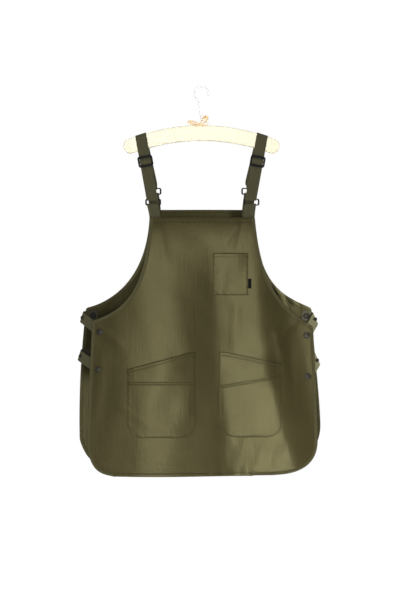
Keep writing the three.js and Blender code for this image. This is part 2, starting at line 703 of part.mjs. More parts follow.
for (const [side, hand] of [[-1, 'left'], [1, 'right']]) {
  const topZ = barTop(strapSpread);
  const slope = (strapSpread - frontRingSpread) / (frontRingDrop + topZ);
  const backSlope = (strapSpread - backRingSpread) / (backRingDrop + topZ);
  const topTilt = (-side * 2 * barSag * strapSpread) / (barHalfLength - barHeight / 2) ** 2;
  const leanX = (z, by = slope) => side * (strapSpread - by * (topZ - z));
  const row = (y, z, tilt, by = slope) => {
    const half = new THREE.Vector3(1, 0, tilt).setLength(webWidth / 2);
    return { at: new THREE.Vector3(leanX(z, by), y, z), half };
  };
  const leaning = -side * slope;

  const sy = -sliderPlane;
  const sz = -sliderDrop;
  const barHalf = sliderBar / 2;
  const frameHalf = sliderThick / 2;
  const overBar = frameHalf + webThick + seat + gap + 0.2;
  const behind = frameHalf + gap;
  const rimIn = sliderHeight / 2 - sliderBar;
  const ringZ = -frontRingDrop + ringHeight / 2 - ringWire / 2;
  const ringY = -ringPlane;
  const backZ = -backRingDrop + ringHeight / 2 - ringWire / 2;
  // Tail over the middle bar of the slider, down behind to the front ring and up in front
  const snug = gap + 0.15;
  const tail = [
    [sy - frameHalf - snug, sz - barHalf + 0.6],
    [sy - frameHalf - snug, sz + barHalf],
    [sy - frameHalf - snug * 0.7, sz + barHalf + snug * 0.7],
    [sy - frameHalf, sz + barHalf + snug],
    [sy + frameHalf, sz + barHalf + snug],
    [sy + frameHalf + snug * 0.7, sz + barHalf + snug * 0.7],
    [sy + frameHalf + snug, sz + barHalf],
    [sy + frameHalf + snug, sz - barHalf],
    [sy + behind + webThick + seat + 0.2, sz - rimIn + 3],
    [sy + behind + webThick + seat + 0.2, sz - sliderHeight / 2 - 4],
  ].map(([y, z]) => row(y, z, leaning));
  const ringTurn = [
    [ringY + wrap, ringZ + 14],
    ...arc(ringY, ringZ, wrap, 0, -180, 6),
    [ringY - wrap * 0.8, ringZ + 14],
  ].map(([y, z]) => row(y, z, 0));
  const climb = [
    [sy + behind, sz - sliderHeight / 2 - 4],
    [sy + behind, sz - rimIn + 1],
    [sy - overBar, sz - barHalf - 1.2],
    [sy - overBar, sz + barHalf + 1.2],
    [sy + behind, sz + rimIn - 1],
    [sy + behind, sz + sliderHeight / 2 + 4],
    [-strapFaceY, topZ - barHeight - 4],
  ].map(([y, z]) => row(y, z, leaning));
  // Over the hanger, down to the back ring and a short sewn end
  const round = 3;
  const over = [
    ...arc(-barThick / 2 + round, topZ - round + 0.3, round + gap, 180, 90, 4),
    ...arc(barThick / 2 - round, topZ - round + 0.3, round + gap, 90, 0, 4),
  ].map(([y, z]) => row(y, z, topTilt));
  const descent = [row(strapFaceY, topZ - barHeight - 4, -side * backSlope, backSlope)];
  const backTurn = [
    [ringPlane + pair + 1, backZ + 16],
    ...arc(ringPlane, backZ, wrap, 0, -180, 6),
    [ringPlane - pair, backZ + 16],
    [ringPlane - pair, backZ + 36],
  ].map(([y, z]) => row(y, z, 0, backSlope));
  const strapRows = [...tail, ...ringTurn, ...climb, ...over, ...descent, ...backTurn];
  place(`strap_${hand}`, 'webbing', toGeometry(ribbon(strapRows, webThick)));

  // Slider with three bars, turned with the strap
  const slotHalf = webWidth / 2 + 1.4;
  const sliderHoles = [
    { half: slotHalf, low: barHalf, high: rimIn, cut: 0.8 },
    { half: slotHalf, low: -rimIn, high: -barHalf, cut: 0.8 },
  ];
  const slider = frameGeometry(sliderWidth / 2, sliderHeight / 2, 4, sliderHoles, sliderThick);
  slider.rotateY(side * Math.atan(slope));
  slider.translate(leanX(sz), sy, sz);
  place(`slider_${hand}`, 'black_plastic', toGeometry(fromGeometry(slider)));

  // Rings and the sewn loops that join them to the bib and to the back
  const rings = [[front, 'front', frontRingDrop, slope, 1.5], [back, 'back', backRingDrop, backSlope, -1]];
  for (const [panel, word, drop, by, play] of rings) {
    const slip = side * play;
    const eye = [{
      half: ringWidth / 2 - ringWire,
      low: ringWire - ringHeight / 2,
      high: ringHeight / 2 - ringWire,
      cut: 1.2,
    }];
    const ring = frameGeometry(ringWidth / 2, ringHeight / 2, 3.5, eye, ringWire);
    ring.translate(leanX(-drop, by) + slip, panel.out * ringPlane, -drop);
    place(`${word}_ring_${hand}`, 'black_plastic', toGeometry(fromGeometry(ring)));

    const barZ = -drop - ringHeight / 2 + ringWire / 2;
    const endX = side * 0.404 * panelHalf;
    const startX = leanX(-drop, by);
    const lip = panel.top + 4;
    const slide = (z) => startX + (endX - startX) * Math.min(1, (barZ - z) / (barZ - panel.top));
    const hold = clearDepth(panel, endX, panel.top, 0, -1, loopTail, webWidth / 2 + 3);
    const nearLayer = hold - webHalf;
    const farLayer = nearLayer - webThick - seat;
    const path = [
      [nearLayer, panel.top - loopTail],
      [nearLayer, lip],
      ...arc(ringPlane, barZ, wrap, 0, 180, 6),
      [farLayer, lip],
      [farLayer, panel.top - loopTail],
    ];
    const rows = path.map(([depth, z]) => ({
      at: new THREE.Vector3(slide(z), panel.out * depth, z),
      half: new THREE.Vector3(webWidth / 2, 0, 0),
    }));
    place(`${word}_loop_${hand}`, 'webbing', toGeometry(ribbon(rows, webThick)));
  }
}

// Round snap parts: a flat seat under a stepped, domed cap
function seated(radius, thick, spot, facing, sides) {
  const profile = [[0, 0], [radius, 0], [radius, thick * 0.45], [radius * 0.75, thick * 0.85], [0, thick]];
  const cap = new THREE.LatheGeometry(profile.map(([r, h]) => new THREE.Vector2(r, h)), sides);
  const turn = new THREE.Quaternion().setFromUnitVectors(new THREE.Vector3(0, 1, 0), facing);
  cap.applyQuaternion(turn);
  cap.translate(spot.x, spot.y, spot.z);
  return toGeometry(fromGeometry(cap));
}

const forward = new THREE.Vector3(0, -1, 0);

// Side tabs: snapped inside the front edge, folded outside and snapped inside the back edge
for (const row of sideTabs) {
  const snapX = row.side * row.out * panelHalf;
  const snapZ = front.top - row.down * panelHeight;
  const rise = (row.rise * Math.PI) / 180;
  const tilt = (row.tilt * Math.PI) / 180;
  const along = new THREE.Vector3(row.side * Math.cos(rise), 0, Math.sin(rise));
  const axis = new THREE.Vector3(-row.side * Math.sin(tilt), 0, Math.cos(tilt));
  const outward = new THREE.Vector3(row.side * Math.cos(tilt), 0, Math.sin(tilt));
  const across = along.dot(outward);
  const climb = along.dot(axis);
  const returning = outward.clone().multiplyScalar(-across).addScaledVector(axis, climb);
  const half = tabWidth / 2;
  const slant = half * Math.abs(climb / across);
  const reach = row.reach * tabReach;
  const backRun = row.back * tabBack;

  const nearDepth = clearDepth(front, snapX - along.x * tabTail, snapZ - along.z * tabTail, along.x, along.z,
    tabTail + reach + slant, half) - tabThick / 2;
  const foldStart = new THREE.Vector3(snapX, 0, snapZ).addScaledVector(along, reach);
  const turnRough = nearDepth * Math.PI * (climb / across);
  const foldEnd = foldStart.clone().addScaledVector(axis, turnRough);
  const farDepth = clearDepth(back, foldEnd.x, foldEnd.z, returning.x, returning.z,
    backRun + tabTail, half) - tabThick / 2;
  const radius = (nearDepth + farDepth) / 2;
  const middle = (farDepth - nearDepth) / 2;
  const upright = new THREE.Vector3(-along.z * row.side, 0, along.x * row.side).setLength(half);
  const backUpright = new THREE.Vector3(returning.z * row.side, 0, -returning.x * row.side).setLength(half);
  const foldHalf = axis.clone().setLength(half / across);

  const rows = [];
  const spot = (base, dir, run, y) => base.clone().addScaledVector(dir, run).setY(y);
  rows.push({ at: spot(foldStart, along, -reach - tabTail, -nearDepth), half: upright });
  rows.push({ at: spot(foldStart, along, -slant - 1, -nearDepth), half: upright });
  for (let k = 0; k <= 6; k += 1) {
    const angle = ((k * 30 - 90) * Math.PI) / 180;
    const at = foldStart.clone();
    at.addScaledVector(outward, radius * Math.cos(angle));
    at.addScaledVector(axis, (climb / across) * radius * (angle + Math.PI / 2));
    at.y = middle + radius * Math.sin(angle);
    rows.push({ at, half: foldHalf });
  }
  const foldLast = rows[rows.length - 1].at.clone();
  rows.push({ at: spot(foldLast, returning, slant + 1, farDepth), half: backUpright });
  rows.push({ at: spot(foldLast, returning, backRun + tabTail, farDepth), half: backUpright });
  place(`side_tab_${row.name}`, 'webbing', toGeometry(ribbon(rows, tabThick)));

  // Stud on the outer face of the fold
  const studTurn = -Math.PI / 4;
  const studFacing = outward.clone().multiplyScalar(Math.cos(studTurn)).setY(Math.sin(studTurn));
  const studAt = foldStart.clone();
  studAt.addScaledVector(axis, (climb / across) * radius * (studTurn + Math.PI / 2));
  studAt.y = middle;
  studAt.addScaledVector(studFacing, radius + tabThick / 2 + seat);
  place(`tab_stud_${row.name}`, 'snap_metal', seated(studRadius, studThick, studAt, studFacing, 8));

  // Cap on the front of the apron, seated on the cloth
  const rise2 = 6;
  const depthAt = (dx, dz) => facetDepth(front, snapX + dx, snapZ + dz);
  const tiltX = (depthAt(rise2, 0) - depthAt(-rise2, 0)) / (2 * rise2);
  const tiltZ = (depthAt(0, rise2) - depthAt(0, -rise2)) / (2 * rise2);
  let stand = 0;
  for (let k = 0; k < 24; k += 1) {
    for (const share of [0.5, 1]) {
      const dx = capRadius * share * Math.cos((k * Math.PI) / 12);
      const dz = capRadius * share * Math.sin((k * Math.PI) / 12);
      stand = Math.max(stand, depthAt(dx, dz) - depthAt(0, 0) - tiltX * dx - tiltZ * dz);
    }
  }
  const capAt = new THREE.Vector3(snapX, -depthAt(0, 0) - stand - seat, snapZ);
  const outFacing = new THREE.Vector3(-tiltX, -1, -tiltZ).normalize();
  place(`front_snap_${row.name}`, 'snap_metal', seated(capRadius, capThick, capAt, outFacing, 10));

  // Cap on the inner end of the tab, facing the front
  const insideAt = spot(foldLast, returning, backRun, farDepth - tabThick / 2 - seat);
  place(`back_snap_${row.name}`, 'snap_metal', seated(capRadius * 0.9, studThick, insideAt, forward, 10));
}

export default apron;
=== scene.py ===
import math

import bmesh
import bpy
import numpy as np
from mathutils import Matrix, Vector


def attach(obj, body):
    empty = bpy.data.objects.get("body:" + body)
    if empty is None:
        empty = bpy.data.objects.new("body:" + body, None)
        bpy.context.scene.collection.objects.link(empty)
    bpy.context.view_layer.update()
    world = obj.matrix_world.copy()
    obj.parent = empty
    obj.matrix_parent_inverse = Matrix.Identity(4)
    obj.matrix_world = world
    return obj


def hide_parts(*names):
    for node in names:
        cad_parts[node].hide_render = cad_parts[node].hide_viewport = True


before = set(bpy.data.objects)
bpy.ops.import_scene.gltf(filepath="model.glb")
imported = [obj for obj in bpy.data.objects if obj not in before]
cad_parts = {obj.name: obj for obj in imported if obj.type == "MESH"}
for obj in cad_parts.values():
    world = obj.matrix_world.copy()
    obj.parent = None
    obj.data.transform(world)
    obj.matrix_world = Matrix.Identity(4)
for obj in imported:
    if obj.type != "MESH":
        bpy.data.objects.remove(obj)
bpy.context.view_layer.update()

scene = bpy.context.scene
scene.view_settings.view_transform = "Standard"

# Sizes and places in mm, as in the CAD
PANEL_H, PANEL_HALF, CLOTH = 682.0, 303.0, 1.4
TAPE_T, SEAT = 0.7, 0.3
WEB_W, WEB_T = 30.0, 1.6
# Each panel's outward direction, the height of its top edge and how far down its top fold is sewn
FRONT = dict(out=-1.0, top=-346.0, sewn=11.0)
BACK = dict(out=1.0, top=-324.0, sewn=8.0)
HEM_SEWN = 8.0
SIDES = ((-1, "left"), (1, "right"))
PANELS = ((FRONT, "front"), (BACK, "back"))

# Scale of the photo, and the pixels of the frame's X = 0 and Z = 0
PIXEL_MM, MIDDLE_PX, ZERO_PY = 2.65, 201.5, 87.3

# Camera and studio
LENS, SENSOR, PHOTO_ROWS = 85.0, 36.0, 601
CAMERA_X, CAMERA_Z = -0.00265, -0.565
tall = PHOTO_ROWS * PIXEL_MM / 1000
away = tall / 2 / (SENSOR / 2 / LENS)
cam_data = bpy.data.cameras.new("view")
cam_data.lens = LENS
cam_data.sensor_fit = "VERTICAL"
cam_data.sensor_height = SENSOR
cam = bpy.data.objects.new("view", cam_data)
cam.location = (CAMERA_X, -away, CAMERA_Z)
cam.rotation_euler = (math.pi / 2, 0, 0)
scene.collection.objects.link(cam)
scene.camera = cam

world = bpy.data.worlds.new("studio")
scene.world = world
world.use_nodes = True
sky = world.node_tree
sky.nodes.clear()
sky_out = sky.nodes.new("ShaderNodeOutputWorld")
sky_mix = sky.nodes.new("ShaderNodeMixShader")
sky_path = sky.nodes.new("ShaderNodeLightPath")
sky.links.new(sky_path.outputs["Is Camera Ray"], sky_mix.inputs[0])
sky.links.new(sky_mix.outputs[0], sky_out.inputs["Surface"])
# Soft light on the object, and plain white for the camera
for slot, colour, strength in ((1, (1, 0.99, 0.97, 1), 0.17), (2, (1, 1, 1, 1), 1.0)):
    backdrop = sky.nodes.new("ShaderNodeBackground")
    backdrop.inputs["Color"].default_value = colour
    backdrop.inputs["Strength"].default_value = strength
    sky.links.new(backdrop.outputs[0], sky_mix.inputs[slot])


def area_light(name, at, to, size, power, spread=180.0):
    data = bpy.data.lights.new(name, "AREA")
    data.spread = math.radians(spread)
    data.shape = "RECTANGLE"
    data.size, data.size_y = size
    data.energy = power
    lamp = bpy.data.objects.new(name, data)
    lamp.location = at
    lamp.rotation_euler = (Vector(to) - Vector(at)).to_track_quat("-Z", "Y").to_euler()
    lamp.visible_camera = False
    scene.collection.objects.link(lamp)
    return lamp


area_light("key_front", (-0.25, -3.3, -0.72), (0.0, 0.0, -0.72), (0.55, 1.9), 25)
area_light("key_low", (-0.28, -3.2, -1.15), (0.23, 0.0, -1.02), (0.3, 0.5), 0.1, 12)
hanger_glow = area_light("hanger_glow", (0.0, -2.0, 0.3), (0.0, 0.0, -0.12), (0.8, 0.5), 19)
area_light("fill_top", (0.2, -1.2, 2.1), (0.0, 0.0, -0.5), (1.6, 1.2), 6)
area_light("back_soft", (0.5, 3.1, 0.1), (0.0, 0.0, -0.68), (1.4, 2.0), 42)
area_light("side_left", (-3.0, 0.3, 0.0), (0.0, 0.0, -0.7), (1.0, 1.6), 5)
area_light("side_right", (3.0, 0.3, 0.0), (0.0, 0.0, -0.7), (1.0, 1.6), 16)
arm_glow = area_light("arm_glow", (2.4, -1.5, -0.2), (0.3, 0.0, -0.6), (0.5, 0.9), 50)
tab_glow = area_light("tab_glow", (2.2, -1.9, -0.3), (0.3, 0.0, -0.65), (0.5, 0.9), 60)


# Node helpers
class Graph:
    """Small helper to write the node tree of a material."""

    def __init__(self, name):
        self.mat = bpy.data.materials.new(name)
        self.mat.use_nodes = True
        self.tree = self.mat.node_tree
        self.tree.nodes.clear()
        out = self.node("ShaderNodeOutputMaterial")
        self.shader = self.node("ShaderNodeBsdfPrincipled")
        self.put(out.inputs[0], self.shader.outputs[0])

    def node(self, kind, **props):
        made = self.tree.nodes.new(kind)
        for key, value in props.items():
            setattr(made, key, value)
        return made

    def put(self, socket, value):
        """Links an output to a socket, or sets the socket to a number or a colour."""
        if isinstance(value, bpy.types.NodeSocket):
            self.tree.links.new(value, socket)
        else:
            socket.default_value = value

    def feed(self, made, **sockets):
        """Feeds the named sockets of a node; an underscore stands for a space."""
        for key, value in sockets.items():
            self.put(made.inputs[key.replace("_", " ")], value)
        return made.outputs

    def set(self, **sockets):
        self.feed(self.shader, **sockets)

    def mapped(self, source, scale):
        return self.feed(self.node("ShaderNodeMapping"), Vector=source, Scale=scale)["Vector"]

    def attribute(self, name, output):
        return self.node("ShaderNodeAttribute", attribute_name=name).outputs[output]

    def coords(self, scale=(1, 1, 1)):
        return self.mapped(self.node("ShaderNodeTexCoord").outputs["Object"], scale)

    def flow(self, scale=(1, 1, 1)):
        """Coordinates across and along a band of webbing."""
        return self.mapped(self.attribute("flow", "Vector"), scale)

    def noise(self, vector, scale, detail, rough):
        made = self.node("ShaderNodeTexNoise")
        return self.feed(made, Vector=vector, Scale=scale, Detail=detail, Roughness=rough)["Fac"]

    def math(self, op, *values, clamp=False):
        made = self.node("ShaderNodeMath", operation=op, use_clamp=clamp)
        for socket, value in zip(made.inputs, values):
            self.put(socket, value)
        return made.outputs[0]

    def total(self, *parts):
        """Sum of (value, weight) rows."""
        sums = [self.math("MULTIPLY", value, weight) for value, weight in parts]
        result = sums[0]
        for more in sums[1:]:
            result = self.math("ADD", result, more)
        return result

    def weave(self, vector, *ribs):
        """Height of ribs that cross, 0 to 1, from two (axis, pitch) rows."""
        parts = self.node("ShaderNodeSeparateXYZ")
        self.put(parts.inputs[0], vector)
        turns = [self.math("MULTIPLY", parts.outputs[axis], 2 * math.pi / pitch) for axis, pitch in ribs]
        crossed = self.math("MULTIPLY", *[self.math("SINE", turn) for turn in turns])
        return self.math("ADD", self.math("MULTIPLY", crossed, 0.5), 0.5)

    def ramp(self, fac, stops):
        made = self.node("ShaderNodeValToRGB")
        elements = made.color_ramp.elements
        while len(elements) < len(stops):
            elements.new(0.5)
        for element, (position, colour) in zip(elements, stops):
            element.position = position
            element.color = (*colour, 1)
        self.put(made.inputs[0], fac)
        return made.outputs[0]

    def blend(self, share, first, second):
        """Mixes two colours, each of them an output or a tuple."""
        made = self.node("ShaderNodeMix", data_type="RGBA")
        for k, value in ((0, share), (6, first), (7, second)):
            self.put(made.inputs[k], (*value, 1) if isinstance(value, tuple) else value)
        return made.outputs[2]

    def bump(self, height, strength, distance, **under):
        made = self.node("ShaderNodeBump")
        return self.feed(made, Height=height, Strength=strength, Distance=distance, **under)[0]

    def between(self, value, low, high):
        return self.feed(self.node("ShaderNodeMapRange"), Value=value, To_Min=low, To_Max=high)[0]


# Materials
def cloth_material(name, dark, light, rough, gloss):
    """Waxed plain weave with streaks of tone, darker and duller where the seam attribute paints shade."""
    g = Graph(name)
    broad = g.noise(g.coords((5, 5, 3)), 1.0, 3, 0.6)
    streak = g.noise(g.coords((420, 60, 40)), 1.0, 2, 0.6)
    cross = g.noise(g.coords((40, 60, 420)), 1.0, 2, 0.6)
    fine = g.noise(g.coords((900, 900, 900)), 1.0, 2, 0.7)
    runs = g.noise(g.coords((190, 60, 13)), 1.0, 3, 0.6)
    crease = g.noise(g.coords((26, 20, 20)), 1.0, 4, 0.55)
    tone = g.total((broad, 0.45), (streak, 0.3), (cross, 0.15), (fine, 0.1))
    # Painted shade from the seam attribute: along stitch lines, pocket edges and mouths, and where the
    # panels shade each other
    painted_shade = g.attribute("seam", "Fac")
    colour = g.ramp(tone, [(0.34, dark), (0.66, light)])
    polish = g.between(tone, rough - 0.04, rough + 0.05)
    threads = g.weave(g.coords(), (0, 0.0011), (2, 0.0011))
    normal = g.bump(g.total((threads, 0.6), (fine, 0.4)), 0.35, 0.00012)
    normal = g.bump(runs, 0.35, 0.0007, Normal=normal)
    g.set(Base_Color=g.blend(painted_shade, colour, tuple(0.45 * c for c in dark)),
          Roughness=g.math("ADD", polish, g.math("MULTIPLY", painted_shade, 0.5), clamp=True),
          Normal=g.bump(crease, 0.25, 0.0016, Normal=normal),
          Specular_IOR_Level=gloss, Specular_Tint=(1.0, 0.93, 0.47, 1.0))
    return g.mat


def web_material(name, dark, light):
    """Ribbed webbing along its flow, nearly black where the seam attribute paints shade."""
    g = Graph(name)
    tone = g.noise(g.flow((60, 14, 1)), 1.0, 3, 0.6)
    fine = g.noise(g.flow((700, 700, 1)), 1.0, 2, 0.7)
    mix = g.total((tone, 0.7), (fine, 0.3))
    colour = g.ramp(mix, [(0.35, dark), (0.65, light)])
    # Painted shade: the seam attribute blends the webbing toward near black
    g.set(Base_Color=g.blend(g.attribute("seam", "Fac"), colour, tuple(0.08 * c for c in dark)),
          Roughness=g.between(mix, 0.62, 0.78),
          Normal=g.bump(g.weave(g.flow(), (0, 0.0021), (1, 0.0014)), 0.6, 0.0003),
          Sheen_Weight=0.15, Sheen_Roughness=0.5, Specular_IOR_Level=0.4)
    return g.mat


def plain_material(name, dark, light, rough, metal=0.0, grain=300.0, depth=0.00006, spec=0.5):
    g = Graph(name)
    tone = g.noise(g.coords(), grain * 0.2, 4, 0.6)
    fine = g.noise(g.coords(), grain * 4, 2, 0.6)
    g.set(Base_Color=g.ramp(tone, [(0.35, dark), (0.65, light)]),
          Roughness=g.between(tone, rough - 0.06, rough + 0.08),
          Normal=g.bump(fine, 0.3, depth), Metallic=metal, Specular_IOR_Level=spec)
    return g.mat


def wood_material(name, *tones):
    """Pale varnished wood with its grain along X, from three tones."""
    g = Graph(name)
    ring = g.noise(g.coords((3.0, 60.0, 60.0)), 1.0, 4, 0.6)
    fibre = g.noise(g.coords((30.0, 700.0, 700.0)), 1.0, 3, 0.6)
    mix = g.total((ring, 0.65), (fibre, 0.35))
    g.set(Base_Color=g.ramp(mix, list(zip((0.32, 0.52, 0.7), tones))), Roughness=g.between(mix, 0.42, 0.58),
          Normal=g.bump(fibre, 0.25, 0.0002), Specular_IOR_Level=0.4)
    return g.mat


CLOTH_MAT = cloth_material("olive_cloth", (0.042, 0.031, 0.008), (0.058, 0.043, 0.012), 0.4, 1.08)
# Darker, duller copy of the cloth for the inner sides of the panels, as painted shade
INSIDE_SHADE_MAT = cloth_material("olive_cloth_inside_shaded", (0.032, 0.026, 0.009), (0.046, 0.038, 0.013), 0.45, 0.8)
TAPE_MAT = cloth_material("olive_tape", (0.120, 0.108, 0.052), (0.145, 0.131, 0.064), 0.6, 0.4)
WEB_MAT = web_material("olive_web", (0.108, 0.100, 0.046), (0.140, 0.130, 0.062))
THREAD_MAT = plain_material("thread", (0.052, 0.043, 0.02), (0.07, 0.06, 0.03), 0.7, grain=900)
BLACK_MAT = plain_material("black_plastic_look", (0.006, 0.007, 0.007), (0.010, 0.011, 0.011), 0.5,
                           spec=0.25)
SNAP_MAT = plain_material("snap_look", (0.062, 0.058, 0.044), (0.098, 0.092, 0.070), 0.45, metal=0.8)
# Darker copy of the snap metal for the left inner caps, as painted shade
SHADED_SNAP_MAT = plain_material("snap_look_shaded", (0.010, 0.010, 0.009), (0.018, 0.018, 0.016), 0.6,
                                metal=0.5)
LABEL_MAT = plain_material("label_look", (0.006, 0.006, 0.005), (0.012, 0.012, 0.010), 0.8,
                           grain=500, spec=0.2)
WOOD_MAT = wood_material("pale_wood_look", (0.90, 0.80, 0.56), (0.94, 0.87, 0.65), (0.95, 0.89, 0.70))
WIRE_MAT = plain_material("wire_look", (0.88, 0.88, 0.86), (0.95, 0.95, 0.94), 0.4, metal=0.35)
TWINE_MAT = plain_material("twine_look", (0.86, 0.60, 0.32), (0.94, 0.74, 0.46), 0.75,
                           grain=700, depth=0.0003)


# Depth of the cloth, measured outward from the middle plane
def smooth(t):
    u = np.clip(t, 0.0, 1.0)
    return u * u * (3 - 2 * u)


def softplus(t):
    return np.where(t > 30, t, np.log1p(np.exp(np.minimum(t, 30))))


# Bends of the front: line at the top and the hem, its bow, softness, change of slope at top and hem
BENDS = [
    dict(top=-0.84, hem=-1.08, bow=1, soft=0.04, head=0.13, foot=0.06),
    dict(top=-0.56, hem=-0.72, bow=1, soft=0.06, head=-0.15, foot=-0.06),
    dict(top=-0.42, hem=-0.50, bow=1, soft=0.05, head=-0.10, foot=-0.08),
    dict(top=-0.26, hem=-0.34, bow=1, soft=0.06, head=-0.10, foot=-0.10),
    dict(top=-0.13, hem=-0.16, bow=1, soft=0.05, head=-0.10, foot=-0.10),
    dict(top=0.05, hem=0.27, bow=1.2, soft=0.02, head=0.19, foot=0.17),
    dict(top=0.22, hem=0.48, bow=1, soft=0.06, head=0.09, foot=0.10),
    dict(top=0.46, hem=0.82, bow=2, soft=0.022, head=-0.28, foot=-0.26),
    dict(top=0.70, hem=1.25, bow=2, soft=0.05, head=0.20, foot=0.2),
]
FIRST_SLOPE = 0.11
# Share of the half width where the front's depth is set by its crest alone
CREST_AT = -0.38

# Broad folds of the back, as on the frame: line at the top and at the hem, width, height there
BACK_FOLDS = [
    (-0.34, -0.45, 0.16, 3, 9),
    (0, 0.06, 0.2, -2, -6),
    (0.38, 0.5, 0.15, 3, 10),
    (0.7, 0.8, 0.1, 0, -5),
]

# Short soft creases: from and to in pixels of the frame's front view, width mm, height mm
CREASES = [
    ((239, 223), (226, 243), 9, 1.0), ((243, 224), (236, 250), 7, -0.7), ((159, 224), (166, 262), 12, 1.0),
    ((236, 300), (234, 352), 14, -1.1), ((226, 262), (222, 300), 9, 0.5),
    ((300, 318), (270, 345), 12, 1.3), ((92, 322), (122, 345), 12, 1.2),
    ((120, 405), (150, 425), 10, 0.5), ((247, 352), (281, 366), 8, 0.8),
    ((231, 446), (229, 464), 6, 0.5), ((244, 438), (238, 462), 7, -0.6), ((250, 430), (254, 452), 7, 0.5),
    ((266, 436), (256, 466), 7, -0.8), ((276, 442), (268, 468), 6, 0.7), ((286, 444), (277, 464), 5, -0.6),
    ((214, 456), (213, 470), 6, 0.3), ((168, 452), (166, 470), 8, 0.3), ((130, 456), (133, 470), 8, -0.3),
    ((276, 330), (284, 372), 11, 1.0), ((290, 340), (292, 392), 12, -0.8), ((104, 352), (96, 420), 14, 0.6),
]
# Creases of the back beside the armholes, mostly on the right
BACK_CREASES = [
    ((279, 284), (290, 306), 5, 4.6), ((284, 286), (297, 306), 4, -4.0), ((274, 286), (286, 308), 5, -3.6),
    ((290, 292), (302, 308), 5, 3.4), ((270, 280), (280, 300), 5, 2.6),
    ((108, 292), (92, 312), 7, 1.6), ((118, 288), (100, 312), 6, -1.4),
]


def mm_of(px, py):
    """X and Z of a pixel of the frame's front view."""
    return (px - MIDDLE_PX) * PIXEL_MM, (ZERO_PY - py) * PIXEL_MM


def wrinkle(x, z, seed):
    """Gentle unevenness of hanging cloth, mm."""
    a = np.sin(x * 0.031 + 1.3 * seed + 1.7 * np.sin(z * 0.009 + seed))
    b = np.sin(x * 0.073 - 0.9 * seed + 2.1 * np.sin(z * 0.013 + 2 * seed))
    c = np.sin(z * 0.027 + 0.6 * seed + 1.4 * np.sin(x * 0.017 + seed))
    d = np.sin(z * 0.071 + x * 0.043 + 2.2 * seed + 1.8 * np.sin(x * 0.011))
    return 0.42 * a + 0.22 * b + 0.20 * c + 0.10 * d


def creased(rows, x, z):
    """Height of short creases, mm."""
    total = 0.0
    for (p, q, wide, high) in rows:
        x0, z0 = mm_of(*p)
        x1, z1 = mm_of(*q)
        length = math.hypot(x1 - x0, z1 - z0)
        ux, uz = (x1 - x0) / length, (z1 - z0) / length
        run = ((x - x0) * ux + (z - z0) * uz) / length
        side = (x - x0) * -uz + (z - z0) * ux
        fade = smooth((run + 0.15) / 0.3) * smooth((1.25 - run) / 0.5)
        total = total + high * fade * np.exp(-(side / wide) ** 2)
    return total


def front_depth(x, z):
    across = x / PANEL_HALF
    down = (FRONT["top"] - z) / PANEL_H
    d = np.clip(down, 0, 1)
    total = FIRST_SLOPE * across
    centre = FIRST_SLOPE * CREST_AT
    for b in BENDS:
        line = b["top"] + (b["hem"] - b["top"]) * d ** b["bow"]
        change = b["head"] + (b["foot"] - b["head"]) * d
        total = total + change * b["soft"] * softplus((across - line) / b["soft"])
        centre = centre + change * b["soft"] * softplus((CREST_AT - line) / b["soft"])
    grip = 0.10 + 0.90 * smooth(down / 0.3)
    crest = 15 + 12 * (1 - np.exp(-np.maximum(down, 0) / 0.07)) + 14 * smooth(down * 1.2)
    depth = crest + grip * PANEL_HALF * (total - centre)
    depth = depth + creased(CREASES, x, z)
    near_hem = np.exp(-((1 - down) * PANEL_H - 10) ** 2 / 90)
    pucker = np.sin(x * 0.21 + 1.2 * np.sin(x * 0.05)) * near_hem
    depth = depth + 0.55 * pucker * smooth((across + 0.1) / 0.5)
    calm = smooth((down - 0.01) / 0.06)
    return depth + wrinkle(x, z, 1.0) * calm


def back_depth(x, z):
    across = x / PANEL_HALF
    down = (BACK["top"] - z) / PANEL_H
    fall = smooth(down)
    depth = 13 + 12 * fall
    for top, hem, wide, high, low in BACK_FOLDS:
        line = top + (hem - top) * down
        size = high + (low - high) * smooth(down * 1.4)
        depth = depth + size * np.exp(-((across - line) / wide) ** 2)
    depth = depth - smooth((np.abs(across) - 0.55) / 0.45) * (4 + 8 * fall)
    calm = smooth((down - 0.01) / 0.06)
    return depth + 1.2 * wrinkle(x, z, 2.4) * calm + creased(BACK_CREASES, x, z)


def depth_of(panel, x, z):
    x = np.asarray(x, float)
    z = np.asarray(z, float)
    return front_depth(x, z) if panel is FRONT else back_depth(x, z)


# Outlines of the panels: Bezier pins in shares of the half width and the height, top to hem
EDGES = {
    ("f", -1): [(.448, 0), (.475, .305), (.704, .365), (.949, .4), (.97, .554),
                (.979, .709), (.993, .862), (.981, 1.0), (.832, .99), (.748, 1)],
    ("f", 1): [(.462, 0), (.513, .288), (.738, .358), (.972, .423), (.987, .569),
               (1.008, .715), (1.01, .862), (1.015, 1.03), (.5, .985), (.424, 1)],
    ("b", -1): [(.452, 0), (.455, .285), (.831, .367), (1.01, .383), (1.054, .551),
                (1.075, .721), (1.066, .895), (.993, 1.0), (.876, .997), (.766, 1)],
    ("b", 1): [(.455, 0), (.486, .308), (.733, .338), (.962, .384), (.978, .538),
               (1.028, .683), (1.041, .837), (1.038, 1.0), (.664, .995), (.599, 1)],
}


def pins_of(panel, side):
    return EDGES["f" if panel is FRONT else "b", side]


def bezier(pins, count):
    t = np.linspace(0, 1, count + 1)[:, None]
    a, b, c, d = [np.array(p, float) for p in pins]
    return (1 - t) ** 3 * a + 3 * (1 - t) ** 2 * t * b + 3 * (1 - t) * t ** 2 * c + t ** 3 * d


def run_of(points):
    """Length along a line of points, at each point."""
    return np.concatenate([[0], np.cumsum(np.linalg.norm(np.diff(points, axis=0), axis=1))])


def sample(points, run, spots):
    """Points of a line at the given lengths along it."""
    return np.stack([np.interp(spots, run, points[:, k]) for k in range(points.shape[1])], 1)


